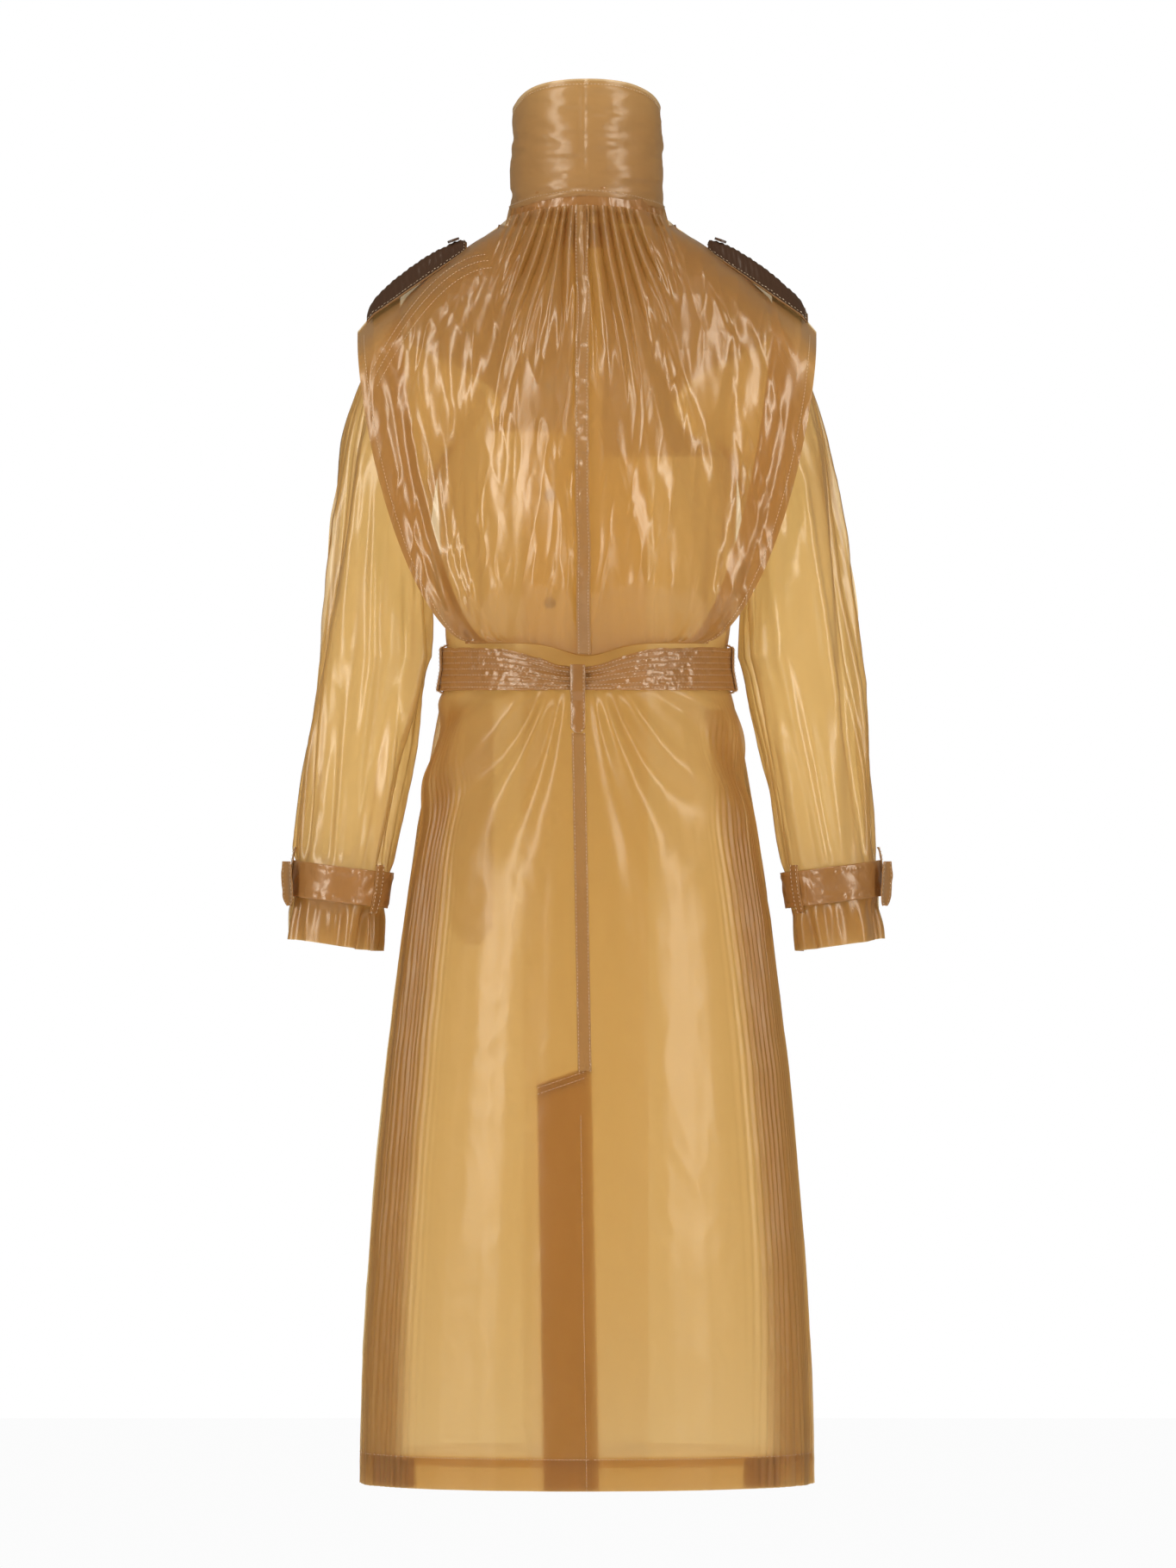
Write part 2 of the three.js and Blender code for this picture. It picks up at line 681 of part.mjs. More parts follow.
function addCuff(side, sideName) {
  const strap = (angle, v, offset) => {
    const z = strapZ(angle) + (v - 0.5) * cuff.strapWidth;
    return sleevePoint(side, angle, z, layerGap + tape + offset);
  };
  addPiece(`cuff_strap_${sideName}`, sleeveTube(strap, tape, 16, 1), 'strap');
  const overStrap = tape + 2 * layerGap;
  const reach = cuff.keeperOverhang;
  const keeperStrip = cuffBridge(side, cuff.keeperAngle, cuff.keeperWidth, reach, reach, overStrap);
  addPiece(`cuff_keeper_${sideName}`, panel(keeperStrip, tape, 1, 12), 'strap');
  const loopStrip = cuffBridge(side, cuff.loopAngle, cuff.loopWidth, cuff.loopRise, reach, overStrap);
  addPiece(`cuff_loop_${sideName}`, panel(loopStrip, tape, 1, 12), 'strap');
  addCuffTab(side, sideName, overStrap + 2 * (tape + layerGap));
}

// The strap's pointed end: a flat plate that hangs from the loop, turned a little to the back.
function addCuffTab(side, sideName, offset) {
  const half = cuff.tabWidth / 2;
  const outline = new THREE.Shape();
  outline.moveTo(-half, 0);
  outline.lineTo(-half, -cuff.tabLength + cuff.tabTip);
  outline.quadraticCurveTo(-half, -cuff.tabLength, 0, -cuff.tabLength);
  outline.quadraticCurveTo(half, -cuff.tabLength, half, -cuff.tabLength + cuff.tabTip);
  outline.lineTo(half, 0);
  const plate = new THREE.ExtrudeGeometry(outline, { depth: cloth, bevelEnabled: false, curveSegments: 4 });
  const mesh = addPiece(`cuff_tab_${sideName}`, weld(plate), 'strap');
  const angle = cuff.tabAngle;
  const topZ = strapZ(0) + cuff.strapWidth / 2 - layerGap;
  mesh.position.copy(sleevePoint(side, angle, topZ, offset));
  const facing = new THREE.Vector3(side * Math.cos(angle), Math.sin(angle), 0).normalize();
  const across = new THREE.Vector3(-facing.y, facing.x, 0);
  const up = new THREE.Vector3(side * -cuff.tabLean, 0, 1).normalize();
  const outward = new THREE.Vector3().crossVectors(across, up).normalize();
  const basis = new THREE.Matrix4().makeBasis(across, up.crossVectors(outward, across), outward);
  mesh.quaternion.setFromRotationMatrix(basis);
}

// ---------- Belt ----------

function beltTopZ(x) {
  const near = Math.exp(-(((x - keeper.x) / belt.pinchReach) ** 2));
  return beltUpperZ - belt.pinch * near;
}

function beltPoint(angle, v, offset) {
  const probe = coatPoint(angle, coat.waistZ);
  const onBack = Math.sin(angle) < 0;
  const topZ = onBack ? beltTopZ(probe.x) : beltUpperZ;
  const z = lerp(beltLowerZ, topZ, v);
  return coatPoint(angle, z, offset);
}

function addBelt() {
  const buckleAngle = frontAngle(belt.buckleX, coat.waistZ);
  const start = buckleAngle + belt.openFrom;
  const end = buckleAngle + 2 * Math.PI - belt.openTo;
  const strap = (u, v) => beltPoint(lerp(start, end, u), v, beltOffset);
  addPiece('belt', panel(strap, cloth, 44, 1), 'strap');
  addBuckle();
  addBeltTail();
  for (const side of [-1, 1]) {
    const name = side < 0 ? 'belt_loop_left' : 'belt_loop_right';
    addPiece(name, panel(sideLoopStrip(side), tape, 1, 10), 'strap');
  }
}

function sideLoopStrip(side) {
  const turn = sideLoop.width / 2 / coat.waistHalfDepth;
  const angle = side < 0 ? -Math.PI + sideLoop.angle : -sideLoop.angle;
  const rise = beltOffset + 3 * layerGap;
  return (u, v) => {
    const z = coat.waistZ + (v - 0.5) * sideLoop.height;
    const bump = Math.sin(Math.PI * clamp(v, 0, 1)) ** 0.3;
    return coatPoint(angle + (2 * u - 1) * turn, z, tape + layerGap / 2 + rise * bump);
  };
}

function addBeltKeeper() {
  const surface = (u, v) => {
    const topZ = keeperTopZ + keeper.overhang;
    const z = lerp(keeperTopZ - keeper.length, topZ, v);
    const round = 1 - 0.35 * smoothstep(0.06 - v, 0, 0.06);
    const x = keeper.x + (u - 0.5) * keeper.width * round;
    const inBelt = smoothstep(z, beltLowerZ - keeper.narrowing, beltLowerZ);
    const out = lerp(tape + layerGap, beltOffset + layerGap + tape, inBelt);
    return coatPoint(backAngle(x, z), z, out + layerGap);
  };
  addPiece('belt_keeper', panel(surface, tape, 1, 12), 'strap');
}

function bucklePlace(offset) {
  const angle = frontAngle(belt.buckleX, coat.waistZ);
  const place = coatPoint(angle, coat.waistZ, offset);
  const a = halfWidth(coat.waistZ);
  const b = halfDepth(coat.waistZ);
  const outward = new THREE.Vector3(Math.cos(angle) / a, Math.sin(angle) / b, 0).normalize();
  return { place, outward };
}

function addBuckle() {
  const halfW = belt.buckleWidth / 2;
  const halfH = belt.buckleHeight / 2;
  const bar = belt.buckleBar;
  const frame = new THREE.Shape();
  frame.moveTo(-halfW, -halfH);
  frame.lineTo(halfW, -halfH);
  frame.lineTo(halfW, halfH);
  frame.lineTo(-halfW, halfH);
  frame.closePath();
  const hole = new THREE.Path();
  hole.moveTo(-halfW + bar, -halfH + bar);
  hole.lineTo(-halfW + bar, halfH - bar);
  hole.lineTo(halfW - bar, halfH - bar);
  hole.lineTo(halfW - bar, -halfH + bar);
  hole.closePath();
  frame.holes.push(hole);
  const { place, outward } = bucklePlace(beltOffset + 4 * layerGap);
  const geometry = new THREE.ExtrudeGeometry(frame, { depth: belt.buckleThickness, bevelEnabled: false });
  const mesh = addPiece('belt_buckle', weld(geometry), 'buckle');
  const across = new THREE.Vector3(-outward.y, outward.x, 0);
  const up = new THREE.Vector3(0, 0, 1);
  mesh.quaternion.setFromRotationMatrix(new THREE.Matrix4().makeBasis(across, up, outward.clone()));
  mesh.position.copy(place);
  const prongLength = belt.buckleWidth - 2 * layerGap;
  const prong = new THREE.CylinderGeometry(belt.prongRadius, belt.prongRadius, prongLength, 10);
  prong.rotateZ(Math.PI / 2);
  const prongMesh = addPiece('belt_prong', weld(prong), 'buckle');
  prongMesh.quaternion.copy(mesh.quaternion);
  const prongRise = belt.buckleThickness + belt.prongRadius + seamGap;
  prongMesh.position.copy(place).addScaledVector(outward, prongRise);
}

// The belt's loose end hangs down from the buckle over the wearer's left front.
function addBeltTail() {
  const topZ = coat.waistZ - belt.buckleHeight / 2 - 3 * layerGap;
  const surface = (u, v) => {
    const z = lerp(topZ - belt.tailLength, topZ, v);
    const tip = belt.tailTip / belt.tailLength;
    const taper = 1 - 0.6 * smoothstep(tip - v, 0, tip);
    const x = belt.buckleX - belt.tailShift + (0.5 - u) * belt.width * taper;
    return coatPoint(frontAngle(x, z), z, beltOffset);
  };
  addPiece('belt_tail', panel(surface, cloth, 2, 8), 'strap');
}

// ---------- Assembly ----------

addBackPanels();
addVent();
addSeamStrip();
addFronts();
addPressStuds();
addGunFlaps();
addSidePleats();
addCape();
addCollar();
addHangLoop();
addLabel();
addEpaulettes();
addSleeves();
addBelt();
addBeltKeeper();

export default coatGroup;
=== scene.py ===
"""Belted trench coat in thin glossy see-through cloth, hanging as if worn, collar up and belt closed.

The cloth lies on the surfaces of the loaded frame, and folds, gathers and puckers are added to it.
Metres, +Z up. The back of the coat faces -Y and the wearer's right is +X.
"""

import json
import math

import bpy
import numpy as np
from mathutils import Matrix, Vector


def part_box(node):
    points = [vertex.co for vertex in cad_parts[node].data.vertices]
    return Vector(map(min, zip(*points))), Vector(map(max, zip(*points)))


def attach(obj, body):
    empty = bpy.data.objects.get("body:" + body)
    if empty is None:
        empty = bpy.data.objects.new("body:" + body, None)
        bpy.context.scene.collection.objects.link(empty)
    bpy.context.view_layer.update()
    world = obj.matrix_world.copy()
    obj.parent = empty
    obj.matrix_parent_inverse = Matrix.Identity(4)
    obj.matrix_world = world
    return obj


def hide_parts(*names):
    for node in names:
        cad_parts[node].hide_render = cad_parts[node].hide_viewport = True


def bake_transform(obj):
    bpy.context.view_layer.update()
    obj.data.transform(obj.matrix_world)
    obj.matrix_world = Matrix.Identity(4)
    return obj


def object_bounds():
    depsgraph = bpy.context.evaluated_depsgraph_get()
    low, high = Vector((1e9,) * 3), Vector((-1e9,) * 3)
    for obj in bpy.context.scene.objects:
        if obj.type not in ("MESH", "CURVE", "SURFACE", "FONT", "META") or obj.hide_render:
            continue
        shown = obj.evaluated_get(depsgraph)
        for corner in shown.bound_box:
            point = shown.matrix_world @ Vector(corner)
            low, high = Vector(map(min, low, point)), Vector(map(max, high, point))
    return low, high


bl_info = {
    "name": "See-through trench coat",
    "version": (1, 0, 0),
    "blender": (4, 5, 0),
    "location": "3D View > Sidebar > Coat",
    "description": "Builds the cloth, belt, cuffs, stitching and studio of a belted trench coat",
    "category": "Object",
}

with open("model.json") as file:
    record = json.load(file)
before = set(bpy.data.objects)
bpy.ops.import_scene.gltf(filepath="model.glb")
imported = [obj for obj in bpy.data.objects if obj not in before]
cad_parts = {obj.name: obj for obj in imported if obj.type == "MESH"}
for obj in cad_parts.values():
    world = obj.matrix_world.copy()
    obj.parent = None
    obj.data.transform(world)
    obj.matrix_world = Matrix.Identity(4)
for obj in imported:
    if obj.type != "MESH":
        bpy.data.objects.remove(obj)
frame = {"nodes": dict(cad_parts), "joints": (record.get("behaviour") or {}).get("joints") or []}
CAD_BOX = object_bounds()


def low(node):
    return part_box(node)[0]


def high(node):
    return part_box(node)[1]


def middle(node):
    return (low(node) + high(node)) / 2


# ---------- The frame's own places and sizes ----------

AXIS_Y = middle("belt").y
NECK_Z = high("back_right").z
HEM_Z = low("back_right").z
WAIST_Z = middle("belt").z
BELT_TOP_Z = high("belt").z
BELT_FOOT_Z = low("belt").z
BELT_OFFSET = 0.004
BUCKLE_X = -0.084
# How far from the belt's middle the cloth under it is drawn in, and how far in it goes.
BELT_HOLD = 0.026
BELT_DRAW = 0.002

# Half width and half depth of the oval section at each level.
NECK = (0.074, 0.065)
NECK_BASE = (0.078, 0.069)
SHOULDER = (0.200, 0.084)
CHEST = (0.143, 0.108)
WAIST = (high("belt").x - BELT_OFFSET, (high("belt").y - low("belt").y) / 2 - BELT_OFFSET)
HEM = (high("back_right").x, AXIS_Y - low("back_right").y)
NECK_BASE_Z = NECK_Z - 0.018
SHOULDER_Z = NECK_Z - 0.102
CHEST_Z = NECK_Z - 0.249
FLARE = 1.75

SEAM_TOP = (-0.009, WAIST_Z + 0.001)
SEAM_HEM_X = 0.005
SEAM_WIDTH = 0.013
VENT_TOP_Z = high("vent_underlap").z - 0.006
VENT_WIDTH = 0.046
VENT_SLANT = 0.016  # its top is this much lower at the loose edge
STAY_HEIGHT = 0.013
VENT_CORNER_REACH = 0.092
FRONT_OVERLAP = 0.062
# Top, foot, and how far it cuts round the body in radians.
ARMHOLE = (SHOULDER_Z - 0.006, CHEST_Z - 0.007, 0.95)
ARMHOLE_ROUNDING = 0.9
HEM_DEPTH = 0.031
HEM_TURN_IN = 0.009
# The rows of a long panel crowd towards its top by this exponent.
ROW_CROWDING = 1.25
PANEL_RISE = NECK_Z - HEM_Z

SLEEVE_TOP_Z = high("sleeve_upper_left").z
UNDERARM_Z = -0.246
ELBOW_Z = (low("sleeve_upper_left").z + high("sleeve_lower_left").z) / 2
SLEEVE_INNER_X = 0.150
SLEEVE_TOP_X = 0.221
SLEEVE_SPREAD = 0.050
SLEEVE_HEM_WIDTH = 0.085
SLEEVE_HEM_OUTER_Z = -0.705
SLEEVE_HEM_INNER_Z = low("sleeve_lower_left").z
SLEEVE_DEPTH = (0.052, 0.043)
SLEEVE_BOW = 0.006
# The upper cloth ends at this share of the way down. Then the lengths of the upper and lower cloth.
SLEEVE_SPLIT = 0.36
SLEEVE_LENGTHS = (0.21, 0.38)

CUFF_STRAP_RISE = 0.058
CUFF_STRAP_WIDTH = 0.034
# Turn round the arm, width, and reach above and below the strap.
CUFF_KEEPER = (math.pi + 0.75, 0.009, (0.006, 0.006))
CUFF_LOOP = (-0.2, 0.005, (0.013, 0.006))
TAB_LENGTH = 0.042
TAB_HALF_WIDTH = 0.012

CAPE_HALF_WIDTH = SLEEVE_TOP_X - 0.001
CAPE_FOOT_HALF = 0.116
CAPE_FOOT_Z = BELT_TOP_Z + 0.006
CAPE_SEAM_X = -0.004
CAPE_LIFT = 0.006  # from the back panels out to the cape
CAPE_NECK_DIP = 0.009  # the neck seam is this much lower at the sides of the neck
CAPE_CORNER = (0.93, 0.5)  # where the shoulder corner starts, and its slope
CAPE_EDGE_CURVE = 1.6  # exponent of the free edge's rounded outline
CAPE_CENTRE_DIP = (0.012, 0.032)  # depth and reach of the dip at the belt keeper
CAPE_SLEEVE_COVER = 0.062  # how far behind the middle plane it lies over a sleeve
CAPE_CROWN_FALL = 0.020  # how far below the shoulder line it has rounded over to the sleeve
CAPE_OVER_SLEEVE = (0.060, 0.190)  # the sleeve carries it from this x, and fully at the second
CAPE_BALLOON = (0.034, 0.4)  # how far it stands off above the belt, and the share over the sleeves
KEEPER_X = middle("belt_keeper").x

SIDES = (("left", -1), ("right", 1))


# ---------- Numbers over arrays ----------


def smooth(value, start, end):
    """Rises softly from 0 at start to 1 at end."""
    share = np.clip((value - start) / (end - start), 0, 1)
    return share * share * (3 - 2 * share)


def mix(first, second, share):
    return first + (second - first) * share


def lattice(column, row, seed):
    """A fixed value from 0 to 1 for each corner of a lattice."""
    value = np.sin(column * 127.1 + row * 311.7 + seed * 74.7) * 43758.5453
    return value - np.floor(value)


def waves(across, along, seed):
    """Smooth noise from -1 to 1, with one bump for about each unit."""
    column = np.floor(across)
    row = np.floor(along)
    a = across - column
    b = along - row
    a = a * a * a * (a * (6 * a - 15) + 10)
    b = b * b * b * (b * (6 * b - 15) + 10)
    near = mix(lattice(column, row, seed), lattice(column + 1, row, seed), a)
    far = mix(lattice(column, row + 1, seed), lattice(column + 1, row + 1, seed), a)
    return 2 * mix(near, far, b) - 1


def creases(across, along, seed):
    """Sharp raised creases, 1 on a crease and -1 between."""
    turned = 0.8 * across + 0.6 * along
    other = 0.8 * along - 0.6 * across
    bent = turned + 0.7 * waves(other * 0.7, turned * 0.7, seed + 5)
    return 1 - 2.6 * np.abs(waves(bent, other, seed))


def crumple(across, along, seed):
    """Papery creases in three sizes, from about -1 to 1. One unit is a large crease."""
    large = creases(across, along, seed)
    medium = creases(across * 2.1, along * 2.1, seed + 1)
    small = creases(across * 4.3, along * 4.3, seed + 2)
    return 0.5 * large + 0.32 * medium + 0.18 * small


# ---------- The coat's surfaces ----------


def section(z, which):
    """Half width (0) or half depth (1) of the coat's oval section, rounded near the shoulder."""
    near = smooth(z, CHEST_Z, SHOULDER_Z - 0.04) * (1 - smooth(z, NECK_BASE_Z - 0.03, NECK_BASE_Z))
    rounded = sum(plain_section(z + step, which) for step in (-0.036, -0.018, 0.018, 0.036)) / 4
    return mix(plain_section(z, which), rounded, near)


def plain_section(z, which):
    """Half width or half depth at height z, with straight runs from level to level above the chest."""
    neck, base, shoulder = NECK[which], NECK_BASE[which], SHOULDER[which]
    chest, waist, hem = CHEST[which], WAIST[which], HEM[which]
    down = np.clip((WAIST_Z - z) / (WAIST_Z - HEM_Z), 0, 1)
    skirt = waist + (hem - waist) * (1 - (1 - down) ** FLARE)
    body = mix(waist, chest, smooth(z, WAIST_Z, CHEST_Z))
    chest_up = mix(chest, shoulder, smooth(z, CHEST_Z, SHOULDER_Z))
    slope = mix(shoulder, base, np.clip((z - SHOULDER_Z) / (NECK_BASE_Z - SHOULDER_Z), 0, 1))
    top = mix(base, neck, np.clip((z - NECK_BASE_Z) / (NECK_Z - NECK_BASE_Z), 0, 1))
    levels = [z > NECK_BASE_Z, z > SHOULDER_Z, z > CHEST_Z, z > WAIST_Z]
    return np.select(levels, [top, slope, chest_up, body], skirt)


def coat_point(angle, z, offset=0.0):
    """Angle 0 is the wearer's right side, a quarter turn the front, minus a quarter turn the back."""
    x = (section(z, 0) + offset) * np.cos(angle)
    y = AXIS_Y + (section(z, 1) + offset) * np.sin(angle)
    return np.stack([x, y, z + 0 * x], 1)


def back_angle(x, z):
    return -np.arccos(np.clip(x / section(z, 0), -1, 1))


def front_angle(x, z):
    return np.arccos(np.clip(x / section(z, 0), -1, 1))


def armhole_cut(z):
    """How far the armhole cuts into a panel at this height, in radians."""
    top_z, foot_z, cut = ARMHOLE
    down = np.clip((top_z - z) / (top_z - foot_z), 0, 1)
    return cut * np.sin(math.pi * down) ** ARMHOLE_ROUNDING


def seam_x(z):
    """The centre back seam, which leans a little."""
    down = np.clip((SEAM_TOP[1] - z) / (SEAM_TOP[1] - HEM_Z), 0, 1)
    return mix(SEAM_TOP[0], SEAM_HEM_X, down)


def front_spread(z):
    """The fronts' overlap narrows where the coat is narrower than at the waist."""
    return np.clip(section(z, 0) / WAIST[0], 0.5, 1)


def skirt_folds(sizes, angle, z, seed):
    """How far the cloth stands off the coat's surface: long soft folds, and fine pleats at the sides."""
    below = np.clip((BELT_FOOT_Z - z) / (BELT_FOOT_Z - HEM_Z), 0, 1)
    started = smooth(below, 0.0, 0.06)
    long_folds = waves(angle * 7, z * 1.6, seed) + 0.2 * waves(angle * 17, z * 2.6, seed + 1)
    side = smooth(np.abs(np.cos(angle)), 0.70, 0.90)
    wander = 1.6 * waves(angle * 6, z * 2.2, seed + 2)
    pleats = 2 * np.abs(np.sin(angle * 62 + wander * 2)) - 1
    pleat_depth = sizes.pleat_depth * side * (0.10 + 0.90 * smooth(below, 0.0, 0.30))
    soft = sizes.fold_depth * (0.35 + 0.65 * below) * long_folds
    return started * (soft + pleat_depth * pleats)


def drag_folds(sizes, x, z):
    """Folds that fan out and down from where the keeper pinches the belt."""
    across = x - KEEPER_X
    down = WAIST_Z + 0.03 - z
    turn = np.arctan2(np.abs(across), np.maximum(down, 0.001))
    far = np.hypot(across, down)
    near_side = smooth(turn, 0.10, 0.35) * (1 - smooth(turn, 0.95, 1.3))
    reach = smooth(far, 0.045, 0.09) * (1 - smooth(far, 0.13, 0.30))
    fan = np.sin(turn * 19 + 2.2 * waves(far * 9, turn * 3, 31) + np.sign(across) * 0.8)
    return sizes.drag_depth * near_side * reach * fan


def held_by_belt(z):
    """1 where the belt presses the cloth in, fading to 0 just above and below it."""
    return np.exp(-(((z - WAIST_Z) / BELT_HOLD) ** 4))


def back_offset(sizes, angle, z):
    """How far the back's cloth stands off the coat's surface."""
    x = section(z, 0) * np.cos(angle)
    under_belt = held_by_belt(z)
    papery = sizes.crumple_depth * 0.32 * crumple(x * 14, z * 9, 41)
    above = smooth(z, WAIST_Z, WAIST_Z + 0.05) * 0.0018 * waves(angle * 14, z * 6, 43)
    cloth = skirt_folds(sizes, angle, z, 3) + drag_folds(sizes, x, z) + papery + above
    return cloth * (1 - under_belt) - BELT_DRAW * under_belt


def front_offset(sizes, angle, z):
    """How far a front's cloth stands off the coat's surface."""
    under_belt = held_by_belt(z)
    x = section(z, 0) * np.cos(angle)
    papery = sizes.crumple_depth * 0.4 * crumple(x * 12, z * 8, 51)
    above = smooth(z, WAIST_Z, WAIST_Z + 0.06) * 0.0022 * waves(angle * 9, z * 5, 53)
    cloth = skirt_folds(sizes, angle, z, 13) + papery + above
    return cloth * (1 - under_belt) - BELT_DRAW * under_belt


def crowded(v):
    """Rows crowded a little towards the top, where the shape changes fastest."""
    return 1 - (1 - v) ** ROW_CROWDING


def row_at(rise):
    """The v of a coat panel's row at this height above the hem."""
    return 1 - (1 - rise / PANEL_RISE) ** (1 / ROW_CROWDING)


def panel_place(sizes, start, end, top_z, foot_z, offset, lift=0.0):
    """A function that gives the point of a coat panel at (u, v). v is 1 at the top."""

    def place(u, v):
        z = mix(foot_z, top_z, crowded(v)) + 0 * u
        angle = mix(start(z), end(z), u)
        return coat_point(angle, z, offset(sizes, angle, z) + lift)

    return place


# ---------- The storm cape ----------


def cape_top_z(x):
    """Height of the cape's upper edge: the neck seam, the shoulder's slope and the turned-down corner."""
    reach = np.abs(x)
    corner_start, corner_slope = CAPE_CORNER
    neck_end = NECK_Z - CAPE_NECK_DIP
    slope = (NECK_BASE_Z - SHOULDER_Z) / (SHOULDER[0] - NECK_BASE[0])
    corner = np.maximum(reach - corner_start * CAPE_HALF_WIDTH, 0)
    outside = neck_end - slope * (reach - NECK[0]) - corner_slope * corner
    inside = NECK_Z + 0.001 - CAPE_NECK_DIP * (reach / NECK[0]) ** 2
    return np.where(reach < NECK[0], inside, outside)


def cape_side_x(down):
    """How far out the cape's rounded free edge is."""
    share = np.clip(down, 0, 1)
    rounded = (1 - share**CAPE_EDGE_CURVE) ** (1 / CAPE_EDGE_CURVE)
    return CAPE_FOOT_HALF + (CAPE_HALF_WIDTH - CAPE_FOOT_HALF) * rounded


def cape_foot_z(x):
    depth, reach = CAPE_CENTRE_DIP
    return CAPE_FOOT_Z - depth * np.exp(-((x / reach) ** 2))


def cape_point(s, down):
    """The smooth cape. s runs from -1 to 1 across it, and down from 0 at the neck to 1 at the foot."""
    x = s * cape_side_x(down)
    top_z = cape_top_z(s * CAPE_HALF_WIDTH)
    z = mix(top_z, cape_foot_z(x), down)
    fall = np.maximum(top_z - z, 0)
    over_sleeve = CAPE_SLEEVE_COVER * (1 - np.exp(-((fall / CAPE_CROWN_FALL) ** 1.4)))
    across = np.clip(x / (section(z, 0) + CAPE_LIFT), -1, 1)
    over_back = (section(z, 1) + CAPE_LIFT) * np.sqrt(1 - across * across)
    wide = smooth(np.abs(x), *CAPE_OVER_SLEEVE)
    balloon, side_share = CAPE_BALLOON
    swell = balloon * smooth(down, 0.1, 0.8) * (1 - smooth(down, 0.86, 1.05))
    deep = (over_sleeve**6 * wide + over_back**6) ** (1 / 6)
    y = AXIS_Y - deep - swell * mix(1, side_share, wide)
    return np.stack([x, y, z], 1)


def cape_folds(sizes, s, down):
    """How far the cape's cloth stands off its smooth shape."""
    x = s * cape_side_x(down)
    reach = np.abs(s)
    fan = x / (0.35 + 1.1 * down)
    neck = 1 - smooth(reach, 0.24, 0.44)
    each_length = 0.34 + 0.22 * waves(fan * 80, 0 * down, 60)
    fading = (1 - smooth(down, 0.3 * each_length, each_length)) * smooth(down, -0.02, 0.02)
    gather_wave = 2 * np.abs(np.sin(fan * 118 + 2.2 * waves(fan * 24, down * 3.0, 61))) - 1
    gathers = 1.15 * sizes.gather_depth * neck * fading * gather_wave
    long_wave = waves(fan * 30 + 0.5 * waves(fan * 9, down * 4, 63), down * 1.7, 64)
    long_reach = smooth(down, 0.03, 0.2) * (1 - smooth(reach, 0.5, 0.8))
    long_folds = 1.2 * sizes.gather_depth * long_wave * long_reach
    side_line = (1 - reach) * 30
    hanging = waves(side_line * 0.5, down * 1.3, 66 + (s > 0))
    side_folds = sizes.gather_depth * 1.1 * smooth(reach, 0.42, 0.72) * smooth(down, 0.1, 0.35) * hanging
    belt_wave = np.sin(x * 190 + 2.4 * waves(x * 22, down * 5, 67))
    belt_gathers = 0.0030 * smooth(down, 0.62, 0.95) * belt_wave
    papery = sizes.crumple_depth * crumple(x * 24 + 0.2 * s, down * 2.4, 68)
    quiet = smooth(down, 0.0, 0.03)
    return gathers + (long_folds + side_folds + belt_gathers) * quiet + papery * (0.3 + 0.7 * quiet)


def cape_place(sizes, start, end):
    """The cape's cloth. Its last rows roll under, towards the back panels."""

    def place(u, v):
        spread = 1.05 * (1 - v)
        down = np.minimum(spread, 1.0)
        s = mix(start, end, u)
        point = cape_point(s, down)
        off = cape_folds(sizes, s, down)
        point[:, 1] -= off
        under = np.clip((spread - 1.0) / 0.05, 0, 1)
        point[:, 1] += 0.012 * (1 - np.cos(under * math.pi * 0.8))
        point[:, 2] -= 0.004 * np.sin(under * math.pi) - 0.004 * under
        return point

    return place


def cape_at(x, z):
    """(s, down) of the cape's point at this x and height."""
    s = x / CAPE_HALF_WIDTH
    down = 0.5 + 0 * x
    for _ in range(12):
        top_z = cape_top_z(s * CAPE_HALF_WIDTH)
        down = np.clip((top_z - z) / (top_z - cape_foot_z(x)), 0.001, 0.999)
        s = np.clip(x / cape_side_x(down), -1, 1)
    return s, down


# ---------- Sleeves ----------


def sleeve_outer_x(z):
    down = (SLEEVE_TOP_Z - z) / (SLEEVE_TOP_Z - SLEEVE_HEM_OUTER_Z)
    hem_x = SLEEVE_INNER_X + SLEEVE_SPREAD + SLEEVE_HEM_WIDTH
    return mix(SLEEVE_TOP_X, hem_x, down) + SLEEVE_BOW * np.sin(math.pi * np.clip(down, 0, 1))


def sleeve_inner_x(z):
    down = np.clip((ELBOW_Z - z) / (ELBOW_Z - SLEEVE_HEM_INNER_Z), 0, 1.1)
    return SLEEVE_INNER_X + SLEEVE_SPREAD * down**0.85


def sleeve_point(side, turn, z, offset=0.0):
    """Turn 0 is the outer side of the arm, and a quarter turn its front."""
    outer = sleeve_outer_x(z)
    inner = sleeve_inner_x(z)
    x = (outer + inner) / 2 + ((outer - inner) / 2 + offset) * np.cos(turn)
    half_depth = mix(SLEEVE_DEPTH[1], SLEEVE_DEPTH[0], smooth(z, SLEEVE_HEM_INNER_Z, UNDERARM_Z))
    y = AXIS_Y + (half_depth + offset) * np.sin(turn)
    return np.stack([side * x, y, z + 0 * x], 1)


def across_sleeve(turn, outer, inner):
    return mix(inner, outer, (1 + np.cos(turn)) / 2)


def strap_z(turn):
    return across_sleeve(turn, SLEEVE_HEM_OUTER_Z, SLEEVE_HEM_INNER_Z) + CUFF_STRAP_RISE


def armhole_point(side, turn):
    """The edge of the armhole, going round it as the sleeve's turn does."""
    top_z, foot_z, cut = ARMHOLE
    down = (1 - np.cos(turn)) / 2
    angle = cut * np.sin(math.pi * down) ** ARMHOLE_ROUNDING * np.sign(np.sin(turn))
    point = coat_point(angle, mix(top_z, foot_z, down))
    point[:, 0] *= side
    return point


